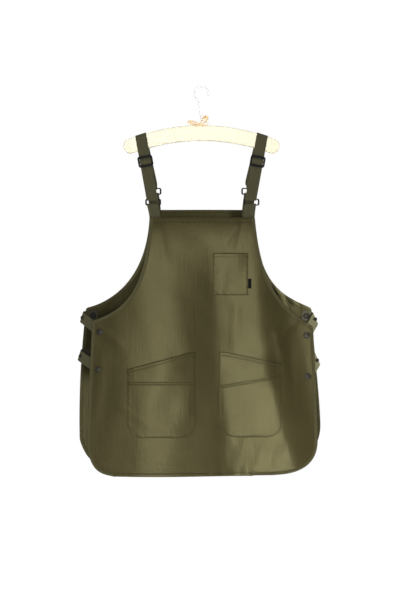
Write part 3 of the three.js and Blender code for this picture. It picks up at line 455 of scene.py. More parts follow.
def even(points, step):
    """The same line with evenly spaced points, about a step apart."""
    points = np.asarray(points, float)
    run = run_of(points)
    count = max(2, int(round(run[-1] / step)))
    return sample(points, run, np.linspace(0, run[-1], count + 1))


def unit_rows(rows):
    return rows / np.linalg.norm(rows, axis=1)[:, None]


def relax(points, rounds):
    points = points.copy()
    for _ in range(rounds):
        points[1:-1] = 0.25 * points[:-2] + 0.5 * points[1:-1] + 0.25 * points[2:]
    return points


def panel_edge(panel, side, step=2.5):
    pins = pins_of(panel, side)
    runs = [bezier(pins[k:k + 4], 60) for k in (0, 3, 6)]
    line = np.concatenate([runs[0], runs[1][1:], runs[2][1:]])
    line = np.stack([side * line[:, 0] * PANEL_HALF, panel["top"] - line[:, 1] * PANEL_H], 1)
    return relax(even(line, step), 3)


def split_edge(panel, side):
    """The upright edge of a panel, and its rounded lower corner."""
    line = panel_edge(panel, side)
    corner_z = panel["top"] - pins_of(panel, side)[6][1] * PANEL_H - 20
    cut = int(np.argmax(line[:, 1] < corner_z))
    return line[:cut + 1], line[cut:]


# Mesh helpers
def make(name, verts, faces, material, replaces=(), flow=None, seam=None):
    """One piece from points in mm, with its optional attributes for the shaders."""
    mesh = bpy.data.meshes.new(name)
    metres = np.asarray(verts, float) * 0.001
    mesh.from_pydata(metres.tolist(), [], [tuple(int(i) for i in f) for f in faces])
    mesh.update()
    bm = bmesh.new()
    bm.from_mesh(mesh)
    bmesh.ops.recalc_face_normals(bm, faces=bm.faces)
    bm.to_mesh(mesh)
    bm.free()
    if flow is not None:
        layer = mesh.attributes.new("flow", "FLOAT_VECTOR", "POINT")
        layer.data.foreach_set("vector", (np.asarray(flow, float) * 0.001).ravel())
    # The seam attribute carries painted shade for the cloth and webbing shaders
    if seam is not None:
        layer = mesh.attributes.new("seam", "FLOAT", "POINT")
        layer.data.foreach_set("value", np.asarray(seam, float).ravel())
    mesh.polygons.foreach_set("use_smooth", [True] * len(mesh.polygons))
    mesh.materials.append(material)
    piece = bpy.data.objects.new(name, mesh)
    scene.collection.objects.link(piece)
    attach(piece, "root")
    if replaces:
        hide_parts(*replaces)
    return piece


def grid_solid(outer, inner):
    """Closed slab from two grids of points with shared rims."""
    rows, cols = outer.shape[:2]
    verts = np.concatenate([outer.reshape(-1, 3), inner.reshape(-1, 3)])
    layer = rows * cols
    faces = []
    for j in range(rows - 1):
        for i in range(cols - 1):
            a = j * cols + i
            faces.append((a, a + 1, a + cols + 1, a + cols))
            faces.append((a + layer, a + cols + layer, a + cols + 1 + layer, a + 1 + layer))
    rim = list(range(cols))
    rim += [j * cols + cols - 1 for j in range(1, rows)]
    rim += [(rows - 1) * cols + i for i in range(cols - 2, -1, -1)]
    rim += [j * cols for j in range(rows - 2, 0, -1)]
    for a, b in zip(rim, rim[1:] + rim[:1]):
        faces.append((a, a + layer, b + layer, b))
    return verts, faces


def ring_faces(rings, sides, closed=False):
    """Skin over rings of points that follow each other, from the last to the first too where closed."""
    faces = []
    for k in range(rings if closed else rings - 1):
        here, there = k * sides, (k + 1) % rings * sides
        for n in range(sides):
            m = (n + 1) % sides
            faces.append((here + n, here + m, there + m, there + n))
    return faces


def end_caps(rings, sides):
    return [tuple(range(sides)), tuple(range((rings - 1) * sides, rings * sides))]


def strip_caps(rings, sides):
    """Closes both ends of a skin with quads that join one half of the ring to the other."""
    return [(base + n, base + n + 1, base + sides - 2 - n, base + sides - 1 - n)
            for base in (0, (rings - 1) * sides) for n in range(sides // 2 - 1)]


def joined(parts):
    """One list of points and faces from several."""
    verts, faces, base = [], [], 0
    for v, f in parts:
        verts.append(v)
        faces += [tuple(i + base for i in face) for face in f]
        base += len(v)
    return np.concatenate(verts), faces


def spread(count, ends):
    """Shares from 0 to 1 with closer lines near both ends."""
    t = np.linspace(0, 1, count + 1)
    return (1 - ends) * t + ends * (3 * t ** 2 - 2 * t ** 3)


def at_shares(points, shares):
    points = np.asarray(points, float)
    run = run_of(points)
    return sample(points, run / run[-1], shares)


def coons(top, bottom, left, right, us, vs):
    """Grid of points between four edge lines, rows down and columns across."""
    above, below = at_shares(top, us), at_shares(bottom, us)
    before, after = at_shares(left, vs), at_shares(right, vs)
    u = us[None, :, None]
    v = vs[:, None, None]
    ruled = (1 - v) * above[None] + v * below[None] + (1 - u) * before[:, None] + u * after[:, None]
    corners = (1 - u) * (1 - v) * above[0] + u * (1 - v) * above[-1]
    return ruled - (corners + (1 - u) * v * below[0] + u * v * below[-1])


# Closer rows of the panels along their top and their hem, in mm from the edge
TOP_ROWS = [0, 1.2, 2.6, 4.2, 5.8, 7.0, 7.8, 8.6, 9.4, 10.2, 11.0, 11.8, 12.8, 14.4, 17]
HEM_ROWS = [0, 1.0, 2.2, 3.6, 5.0, 5.9, 6.6, 7.1, 7.6, 8.2, 9.0, 10.4, 12.6, 16]


def panel_rows(length, count):
    """Shares down a panel with close rows along its two sewn ends."""
    inner = np.linspace(TOP_ROWS[-1], length - HEM_ROWS[-1], count)[1:-1]
    return np.array([*TOP_ROWS, *inner, *[length - h for h in HEM_ROWS[::-1]]]) / length


def panel_grid(panel, nu, nv):
    """Flat grid of a panel inside its outline, from the top edge to the hem with its round corners."""
    left, corner_l = split_edge(panel, -1)
    right, corner_r = split_edge(panel, 1)
    top = np.array([left[0], right[0]])
    hem = even(np.array([corner_l[-1], corner_r[-1]]), 20)
    bottom = np.concatenate([corner_l, hem[1:-1], corner_r[::-1]])
    length = float(run_of(left)[-1])
    return coons(top, bottom, left, right, spread(nu, 0.25), panel_rows(length, nv))


def lay(panel, flat, lift):
    """Points of a flat grid put on the cloth with a lift, mm."""
    x, z = flat[..., 0], flat[..., 1]
    return np.stack([x, panel["out"] * (depth_of(panel, x, z) + lift), z], -1)


def flat_area(line):
    """Area inside a closed line in square metres."""
    x, z = line[:, 0], line[:, 1]
    return abs(float(np.sum(x * np.roll(z, -1) - np.roll(x, -1) * z))) / 2 * 1e-6


# Front and back panels
def seam_dip(distance, at, half, deep):
    """Groove that a row of stitches pulls into the cloth."""
    return -deep * np.exp(-((distance - at) / half) ** 2)


# Stretches of the back in the shade between the panels: side, top, its softness, foot, its softness
GAP_SHADE = [(-1, -622, 40, -735, 30), (1, -730, 40, -930, 40)]
GAP_EDGE, GAP_SOFT = 268, 14


def in_gap(x, z):
    """How far a spot of the back lies in the shade between the panels at the sides, 0 to 1."""
    deep = 0.0
    for side, top, top_soft, foot, foot_soft in GAP_SHADE:
        fade = np.clip((top - z) / top_soft, -9, 0) ** 2 + np.clip((foot - z) / foot_soft, 0, 9) ** 2
        deep = np.maximum(deep, np.exp(-fade) * (x * side > 0))
    return smooth((np.abs(x) - GAP_EDGE) / GAP_SOFT) * deep


def panel_piece(name, node, panel, nu, nv):
    flat = panel_grid(panel, nu, nv)
    x, z = flat[..., 0], flat[..., 1]
    drop = panel["top"] - z
    rise = z - (panel["top"] - PANEL_H)
    sewn = panel["sewn"]
    fold_top = smooth((sewn + 0.8 - drop) / 1.6)
    fold_hem = smooth((HEM_SEWN + 0.8 - rise) / 1.6)
    relief = seam_dip(drop, sewn, 1.2, 0.25) + seam_dip(rise, HEM_SEWN, 1.2, 0.3)
    relief = relief + 0.2 * fold_top + 0.3 * fold_hem
    pucker = 0.18 * np.sin(x * 0.42 + 1.4 * np.sin(x * 0.07)) * np.exp(-((drop - sewn) / 6) ** 2)
    outer = lay(panel, flat, relief + pucker)
    facing = seam_dip(drop, sewn, 1.2, -0.3) - 0.35 * fold_top - 0.35 * fold_hem
    inner = lay(panel, flat, -CLOTH + facing + pucker)
    verts, faces = grid_solid(outer, inner)
    # Painted shade along the stitch lines of the top fold and the hem
    top_stitch_shade = 0.75 * np.exp(-((drop - sewn) / 0.9) ** 2)
    hem_stitch_shade = 0.6 * np.exp(-((rise - HEM_SEWN) / 0.9) ** 2)
    shade = np.maximum(top_stitch_shade, hem_stitch_shade)
    deep = shade
    # On the back's inside, painted shade between the panels, along its top band and under the left armhole
    if panel is BACK:
        deep = np.maximum(shade, 0.97 * in_gap(x, z))
        near_top = 0.55 * smooth((z + 354) / 6) * (np.abs(x) < 150)
        under_arm = 0.45 + 0.4 * smooth((-560 - z) / 60)
        under_arm = under_arm * smooth((-400 - z) / 40) * smooth((z + 650) / 20) * (x < 0)
        deep = np.maximum(deep, np.maximum(near_top, under_arm))
    seam = np.concatenate([shade.ravel(), deep.ravel()])
    piece = make(name, verts, faces, CLOTH_MAT, (node,), seam=seam)
    # The inner faces take the darker copy of the cloth, painted shade
    piece.data.materials.append(INSIDE_SHADE_MAT)
    sides = np.zeros(len(faces), int)
    sides[1:2 * (flat.shape[0] - 1) * (flat.shape[1] - 1):2] = 1
    piece.data.polygons.foreach_set("material_index", sides)
    ring = np.concatenate([panel_edge(panel, -1), panel_edge(panel, 1)[::-1]])
    return piece, flat_area(ring)


front_cloth, front_area = panel_piece("front_cloth", "front_panel", FRONT, 130, 120)
back_cloth, back_area = panel_piece("back_cloth", "back_panel", BACK, 120, 104)

# Floor, pale and evenly lit for the camera
FLOOR_HALF, FLOOR_Z = 7.0, -1.9
floor_mat = bpy.data.materials.new("pale_floor")
floor_mat.use_nodes = True
floor_tree = floor_mat.node_tree
floor_shader = floor_tree.nodes["Principled BSDF"]
floor_shader.inputs["Base Color"].default_value = (0.86, 0.86, 0.85, 1)
floor_shader.inputs["Roughness"].default_value = 0.9
floor_shader.inputs["Emission Color"].default_value = (1, 1, 1, 1)
floor_path = floor_tree.nodes.new("ShaderNodeLightPath")
floor_glow = floor_tree.nodes.new("ShaderNodeMath")
floor_glow.operation = "MULTIPLY_ADD"
floor_glow.inputs[1].default_value = 0.76
floor_glow.inputs[2].default_value = 0.1
floor_tree.links.new(floor_path.outputs["Is Camera Ray"], floor_glow.inputs[0])
floor_tree.links.new(floor_glow.outputs[0], floor_shader.inputs["Emission Strength"])
floor_mesh = bpy.data.meshes.new("studio_floor")
floor_corners = [(a * FLOOR_HALF, b * FLOOR_HALF, FLOOR_Z) for a, b in ((-1, -1), (1, -1), (1, 1), (-1, 1))]
floor_mesh.from_pydata(floor_corners, [], [(0, 1, 2, 3)])
floor_mesh.materials.append(floor_mat)
floor = bpy.data.objects.new("studio_floor", floor_mesh)
scene.collection.objects.link(floor)


# Folded edge tape
def normals_of(line, side, soft):
    """Inward directions of an edge line, turned gently at corners."""
    tangent = unit_rows(relax(unit_rows(np.gradient(line, axis=0)), soft))
    inward = np.stack([tangent[:, 1], -tangent[:, 0]], 1)
    return inward if side > 0 else -inward


# Section of the tape as (distance in from the edge, lift), round the outside and back inside
TAPE_SECTION = [
    (8, .3), (8.05, .7), (7.5, 1.0), (6.7, .95), (6.1, .62), (5.5, .95), (4, 1.1), (2.2, 1.1), (.8, .95),
    (-.2, .55), (-.75, -.1), (-.95, -.7), (-.75, -1.3), (-.2, -1.95), (.8, -2.35), (2.2, -2.5), (4, -2.5),
    (5.5, -2.35), (6.1, -2.02), (6.7, -2.35), (7.5, -2.4), (8.05, -2.1), (8, -1.7), (5, -1.66), (1, -1.62),
    (-.2, -1.2), (-.3, -.7), (-.2, -.2), (1, .22), (5, .26),
]
TAPE_OUTER = 23
TAPE_STITCH = 6.1


def tape_cap(ring):
    """Closes an end of the folded tape between the outer and the inner line of its section."""
    outer = list(range(TAPE_OUTER))
    inner = [0] + list(range(len(ring) - 1, TAPE_OUTER - 2, -1))
    faces = []
    i, j = 0, 0
    while i < len(outer) - 1 or j < len(inner) - 1:
        inner_done = j >= len(inner) - 1
        behind = i / (len(outer) - 1) <= j / (len(inner) - 1)
        a, b = ring[outer[i]], ring[inner[j]]
        if i < len(outer) - 1 and (inner_done or behind):
            i += 1
            c = ring[outer[i]]
        else:
            j += 1
            c = ring[inner[j]]
        if len({a, b, c}) == 3:
            faces.append((a, b, c))
    return faces


def tape_piece(name, node, panel, side):
    line = panel_edge(panel, side, 3.0)
    inward = normals_of(line, side, 14)
    run = run_of(line)
    ripple = 0.16 * np.sin(run * 0.24 + 1.5 * np.sin(run * 0.031)) + 0.1 * np.sin(run * 0.43 + 2)
    verts = []
    for inset, lift in TAPE_SECTION:
        spot = line + inward * inset
        extra = ripple * (1 if lift > -0.7 else -1) * smooth(inset / 4)
        y = panel["out"] * (depth_of(panel, spot[:, 0], spot[:, 1]) + lift + np.maximum(extra, -0.1))
        verts.append(np.stack([spot[:, 0], y, spot[:, 1]], 1))
    verts = np.stack(verts, 1)
    count, m = verts.shape[:2]
    faces = ring_faces(count, m)
    for k in (0, count - 1):
        faces += tape_cap([k * m + n for n in range(m)])
    x, z = verts[..., 0], verts[..., 2]
    # Painted shade on the back's tape between the panels and under the left armhole
    deep = 0 * x
    if panel is BACK:
        behind = 0.55 * smooth((-500 - z) / 60) * smooth((z + 650) / 20) * (x < 0)
        deep = np.maximum(0.93 * in_gap(x, z), behind)
    piece = make(name, verts.reshape(-1, 3), faces, TAPE_MAT, (node,), seam=deep)
    return piece, line, inward


tapes = {}
for panel, word in PANELS:
    for side, hand in SIDES:
        tapes[word, hand] = tape_piece(f"{word}_tape_{hand}", f"{word}_binding_{hand}", panel, side)


# Pockets, in shares of the front's half width and height
# The rim of each pocket is how dark the painted shadow along its mouth is
HIPS = {
    "left": dict(inner=-.05, outer=-.647, peak=-.085, mouth_in=.52, mouth_out=.586, base=.85,
                 r_in=.13, r_out=.13, rim=1.0),
    "right": dict(inner=.154, outer=.694, peak=.2, mouth_in=.52, mouth_out=.565, base=.85,
                  r_in=.15, r_out=.13, rim=0.6),
}
CHEST = dict(inner=.101, outer=.406, top=.138, base=.301, rim=0.9)
LABEL = dict(top=.237, base=.274, wide=.027)
HIP_GAPE, CHEST_GAPE = 5.0, 3.0
POCKET_CLOTH = 0.95


def front_z(share):
    return FRONT["top"] - share * PANEL_H


def hip_sides(row):
    """Mouth, bottom, inner and outer line of a hip pocket."""
    side = math.copysign(1, row["outer"])
    x_in, x_out = row["inner"] * PANEL_HALF, row["outer"] * PANEL_HALF
    low = front_z(row["base"])
    r_in, r_out = row["r_in"] * PANEL_HALF, row["r_out"] * PANEL_HALF
    z_in, z_out = front_z(row["mouth_in"]), front_z(row["mouth_out"])

    def corner(cx, cz, r, start, stop):
        t = np.radians(np.linspace(start, stop, 9))
        return np.stack([cx + side * r * np.cos(t), cz + r * np.sin(t)], 1)

    inner_c = corner(x_in + side * r_in, low + r_in, r_in, 180, 270)
    outer_c = corner(x_out - side * r_out, low + r_out, r_out, 270, 360)
    inner_edge = np.concatenate([[[x_in, z_in]], inner_c[:5]])
    bottom = np.concatenate([inner_c[4:], outer_c[:5]])
    outer_edge = np.concatenate([outer_c[4:], [[x_out, z_out]]])[::-1]
    mouth = np.array([[x_in, z_in], [row["peak"] * PANEL_HALF, z_in], [x_out, z_out]])
    return mouth, bottom, inner_edge, outer_edge


def edge_shares(total, marks, count):
    """Shares along a side with extra lines at the given distances from both ends."""
    inner = np.linspace(max(marks), total - max(marks), count)[1:-1]
    spots = [0, *marks, *inner, *[total - m for m in marks[::-1]], total]
    return np.array(spots) / total


# Distances in mm of the closer lines along the sewn edges, the mouth and the cross seam of a pocket
MARKS = [0.5, 1.1, 1.9, 2.5, 3.1, 4.2, 6.2]
SIDE_MARKS = [0.5, 1.1, 2.5, 4, 6, 8.2, 9, 9.8, 12]
MOUTH_ROWS = [0, 0.5, 1.1, 2.5, 4, 6, 8.1, 9, 9.9, 12]
SEAM_ROWS = [2.6, 1.6, 0.8, 0, -0.8, -1.6, -3.2, -4.9, -5.7, -6.5, -7.3, -8.1, -9.4]
BASE_ROWS = [9, 6.2, 4.2, 3.1, 2.5, 1.9, 1.1, 0.5, 0]
EDGE_SEAM, MOUTH_SEAM, SEAM_PAIR = 2.5, 9.0, 6.5


def pocket_lift(row, gape, x, z):
    """How far a pocket stands off the front, most at the middle of its mouth."""
    across = np.clip((x / PANEL_HALF - row["inner"]) / (row["outer"] - row["inner"]), 0, 1)
    down = (FRONT["top"] - z) / PANEL_H
    mouth = row["mouth_in"] + (row["mouth_out"] - row["mouth_in"]) * across
    fall = np.clip((down - mouth) / (row["base"] - mouth), 0, 1)
    return gape * 4 * across * (1 - across) * (1 - fall) ** 2


def bell(distance, wide):
    return np.exp(-(distance / wide) ** 2)


def patch_pocket(name, node, row, gape, flat, edge_distance, mouth_distance, seams):
    """Sewn pocket with its rims, seams, puckers and painted shade, from the distances to its edges and
    seams.
    """
    x, z = flat[..., 0], flat[..., 1]
    waves = np.sin(x * 0.05 + 0.4 * row["outer"]) * np.sin(z * 0.033 + 1)
    lift = pocket_lift(row, gape, x, z) + 0.7 * waves * smooth(edge_distance / 25)
    lift = np.maximum(lift, 0) + 0.15
    pucker = 0.22 * np.sin((x + z) * 0.33) * bell(edge_distance - 5, 5)
    top = POCKET_CLOTH + 0.15 * smooth((7.5 - edge_distance) / 2)
    top = top + seam_dip(edge_distance, EDGE_SEAM, 0.75, 0.32) + pucker
    top = top - 0.7 * (1 - np.clip(edge_distance / 1.4, 0, 1)) ** 2
    top = top + seam_dip(mouth_distance, MOUTH_SEAM, 0.9, 0.35)
    # Painted shade: dark lines along the sewn edges, the stitch rows and the cross seams, and a painted
    # shadow along the mouth, as dark as the row's rim
    shade = 0.36 * np.clip(1.0 - edge_distance / 1.5, 0, 1)
    shade = np.maximum(shade, 0.15 * bell(edge_distance - EDGE_SEAM, 0.8))
    shade = np.maximum(shade, 0.25 * bell(mouth_distance - MOUTH_SEAM, 0.9))
    shade = np.maximum(shade, row["rim"] * np.clip(1.6 - mouth_distance / 1.6, 0, 1))
    for seam in seams:
        top = top + seam_dip(seam, 0, 0.9, 0.35) + seam_dip(seam, SEAM_PAIR, 0.9, 0.35)
        top = top + 0.2 * bell(seam - 3.2, 2)
        top = top + 0.15 * np.sin(x * 0.5) * bell(seam - 3, 6)
        shade = np.maximum(shade, 0.45 * bell(seam, 0.9))
        shade = np.maximum(shade, 0.4 * bell(seam - SEAM_PAIR, 0.9))
    outer = lay(FRONT, flat, lift + np.maximum(top, 0.25))
    verts, faces = grid_solid(outer, lay(FRONT, flat, lift))
    return make(name, verts, faces, CLOTH_MAT, (node,), seam=np.concatenate([shade.ravel()] * 2))


def distance_to(line, x, z):
    """Shortest distance in mm from grid points to a line of points."""
    best = np.full(x.shape, 1e9)
    for (ax, az), (bx, bz) in zip(line[:-1], line[1:]):
        dx, dz = bx - ax, bz - az
        t = np.clip(((x - ax) * dx + (z - az) * dz) / max(dx * dx + dz * dz, 1e-9), 0, 1)
        best = np.minimum(best, np.hypot(x - ax - t * dx, z - az - t * dz))
    return best


def seam_rows(flat, seam):
    """Moves the rows of a pocket grid so that close rows run along its mouth, seam and base."""
    out = []
    for column in flat.transpose(1, 0, 2):
        z_top, z_low = column[0, 1], column[-1, 1]
        z_seam = float(np.interp(column[len(column) // 2, 0], seam[:, 0], seam[:, 1]))
        z = np.concatenate([
            [z_top - m for m in MOUTH_ROWS],
            np.linspace(z_top - MOUTH_ROWS[-1], z_seam + SEAM_ROWS[0], 14)[1:-1],
            [z_seam + m for m in SEAM_ROWS],
            np.linspace(z_seam + SEAM_ROWS[-1], z_low + BASE_ROWS[0], 26)[1:-1],
            [z_low + m for m in BASE_ROWS],
        ])
        out.append(np.stack([np.interp(-z, -column[:, 1], column[:, 0]), z], 1))
    return np.array(out).transpose(1, 0, 2)


def upright(x0, x1, z0, z1):
    """Top, bottom, left and right line of an upright rectangle."""
    corners = np.array([[x0, z0], [x1, z0], [x0, z1], [x1, z1]])
    return [corners[pair] for pair in ([0, 1], [2, 3], [0, 2], [1, 3])]


# Sewn cross seams of the hip pockets in pixels of the frame's front view
HIP_SEAMS = {"left": [(128, 381.5), (194.5, 381.5)], "right": [(219, 385.5), (251, 380.2), (281, 374.3)]}
HIP_SIDE = 210
pocket_lines = []
for hand, row in HIPS.items():
    mouth, bottom, inner_edge, outer_edge = hip_sides(row)
    seam = np.array([mm_of(*p) for p in HIP_SEAMS[hand]])
    wide = abs(row["outer"] - row["inner"]) * PANEL_HALF
    us = edge_shares(wide, MARKS, 44)
    vs = edge_shares(HIP_SIDE, SIDE_MARKS, 50)
    flat = seam_rows(coons(mouth, bottom, inner_edge, outer_edge, us, vs), seam)
    x, z = flat[..., 0], flat[..., 1]
    sewn = np.concatenate([inner_edge, bottom[1:], outer_edge[::-1][1:]])
    below_seam = z - np.interp(x, seam[:, 0], seam[:, 1]) + SEAM_PAIR
    piece = patch_pocket(f"hip_pocket_cloth_{hand}", f"hip_pocket_{hand}", row, HIP_GAPE, flat,
                         distance_to(sewn, x, z), distance_to(mouth, x, z), [below_seam])
    outline = np.concatenate([sewn, mouth[::-1][1:-1]])
    flat_area(outline) * 1.02
    pocket_lines.append((row, HIP_GAPE, sewn, mouth, seam))

x0, x1 = CHEST["inner"] * PANEL_HALF, CHEST["outer"] * PANEL_HALF
z0, z1 = front_z(CHEST["top"]), front_z(CHEST["base"])
chest_row = dict(CHEST, mouth_in=CHEST["top"], mouth_out=CHEST["top"])
chest_lines = upright(x0, x1, z0, z1)
flat = coons(*chest_lines, edge_shares(x1 - x0, MARKS, 24), edge_shares(z0 - z1, MARKS, 28))
x, z = flat[..., 0], flat[..., 1]
chest_sewn = np.array([[x0, z0], [x0, z1], [x1, z1], [x1, z0]])
chest = patch_pocket("chest_pocket_cloth", "chest_pocket", chest_row, CHEST_GAPE, flat,
                     distance_to(chest_sewn, x, z), distance_to(chest_lines[0], x, z), [])
pocket_lines.append((chest_row, CHEST_GAPE, chest_sewn, chest_lines[0], None))

# Blank side label beside the chest pocket
LABEL_MARKS = [0.3, 0.8]
x0 = x1 + SEAT
x1 = x0 + LABEL["wide"] * PANEL_HALF
z0, z1 = front_z(LABEL["top"]), front_z(LABEL["base"])
flat = coons(*upright(x0, x1, z0, z1), edge_shares(x1 - x0, LABEL_MARKS, 8),
             edge_shares(z0 - z1, LABEL_MARKS, 18))
x, z = flat[..., 0], flat[..., 1]
edge_d = np.minimum(np.minimum(x - x0 + 2, x1 - x), np.minimum(z0 - z, z - z1))
rib = 0.06 * np.sin(z * 4.2)
face = 0.9 + 0.5 - 0.4 * (1 - np.clip(edge_d / 0.8, 0, 1)) ** 2 + rib
verts, faces = grid_solid(lay(FRONT, flat, face), lay(FRONT, flat, 0.4 + 0 * x))
make("side_label", verts, faces, LABEL_MAT, ("chest_label",))


# Webbing bands
def chaikin(points, rounds):
    """Cuts the corners of a line, round after round."""
    points = np.asarray(points, float)
    for _ in range(rounds):
        a = 0.75 * points[:-1] + 0.25 * points[1:]
        b = 0.25 * points[:-1] + 0.75 * points[1:]
        middle = np.stack([a, b], 1).reshape(-1, points.shape[1])
        points = np.concatenate([points[:1], middle, points[-1:]])
    return points


# Section of the webbing with thicker edges, in shares of its half width and half thickness
BAND_UPPER = [(-1, -.5), (-1, .5), (-.985, .85), (-.95, 1), (-.9, .9), (-.6, .97), (-.2, 1), (.2, 1),
              (.6, .97), (.9, .9), (.95, 1), (.985, .85)]
BAND_SECTION = BAND_UPPER + [(-a, -b) for a, b in BAND_UPPER]
BAND_STEP, BAND_LEAST = 6.0, 0.35


def band(name, node, rows, thick, rounds=3, shaded=None):
    """Flat band along rows of (centre, half vector), mm."""
    data = np.array([[*c, *h] for c, h in rows], float)
    data = chaikin(data, rounds)
    run = run_of(data[:, :3])
    keep = [0]
    for k in range(1, len(run)):
        if run[k] - run[keep[-1]] > BAND_LEAST:
            keep.append(k)
    data, run = data[keep], run[keep]
    spots = []
    for k in range(len(run) - 1):
        more = max(1, int((run[k + 1] - run[k]) / BAND_STEP))
        spots += list(np.linspace(run[k], run[k + 1], more, endpoint=False))
    spots = np.array(spots + [run[-1]])
    data = sample(data, run, spots)
    centre, half = data[:, :3], data[:, 3:]
    normal = unit_rows(np.cross(unit_rows(np.gradient(centre, axis=0)), half))
    verts = np.stack([centre + half * a + normal * (b * thick / 2) for a, b in BAND_SECTION], 1)
    count, m = verts.shape[:2]
    wide = np.linalg.norm(half, axis=1)
    flow = np.stack([np.stack([wide * a, spots, 0 * spots], 1) for a, _ in BAND_SECTION], 1)
    piece = make(name, verts.reshape(-1, 3), ring_faces(count, m) + strip_caps(count, m), WEB_MAT, (node,),
                 flow=flow.reshape(-1, 3), seam=None if shaded is None else shaded(verts))
    return piece


def arc(cy, cz, radius, start, stop, count):
    t = np.radians(np.linspace(start, stop, count + 1))
    return [(cy + radius * math.cos(a), cz + radius * math.sin(a)) for a in t]


# Sizes of the shoulder hardware and the board, and where the webbing runs
STRAP_X = 161.0
RING_X = {"front": 129.0, "back": 128.0}
RING_SLIP = {("front", -1): 1.2, ("front", 1): 3.2, ("back", -1): 0.6, ("back", 1): -1.4}
BACK_KNEE = {-1: (132.2, -257.0), 1: (129.8, -257.0)}
BACK_EYE = {-1: (13.4, 131.0), 1: (13.0, 132.6)}
LOOP_END = {("front", -1): -121.5, ("front", 1): 124.8, ("back", -1): -122.4, ("back", 1): 122.4}
RING_DROP = {"front": 305.0, "back": 275.0}
RING_W, RING_H, RING_T, RING_SIDE = 42.0, 18.5, 3.0, 4.3
SLIDER_Z, SLIDER_W, SLIDER_H, SLIDER_T, SLIDER_BAR, SLIDER_RIM = -197.0, 40.0, 30.0, 3.0, 4.4, 5.8
LOOP_TAIL = 24.0
BAR_END, BAR_H, BAR_T, BAR_TOP, BAR_SAG = 208.0 - 20.5, 41.0, 12.0, 101.0, 34.5
WEB_HALF = WEB_T / 2
GAP = SEAT + WEB_HALF
STRAP_FACE = BAR_T / 2 + GAP
WRAP = RING_T * 0.71 + GAP
RING_PLANE = 9.0
SLIDER_PLANE = STRAP_FACE + 1.2


def bar_top(x):
    """Height of the board's upper edge."""
    return -BAR_TOP - BAR_SAG * (x / BAR_END) ** 2


def clear_depth(panel, x, z, dx, dz, length, half):
    """Depth behind a panel at which a band of webbing clears its inner side and its tape."""
    a, b = np.meshgrid(np.linspace(0, length, 13), np.linspace(-half, half, 7))
    px, pz = x + dx * a - dz * b, z + dz * a + dx * b
    return float(depth_of(panel, px, pz).min()) - CLOTH - 2 * SEAT - TAPE_T - 0.9


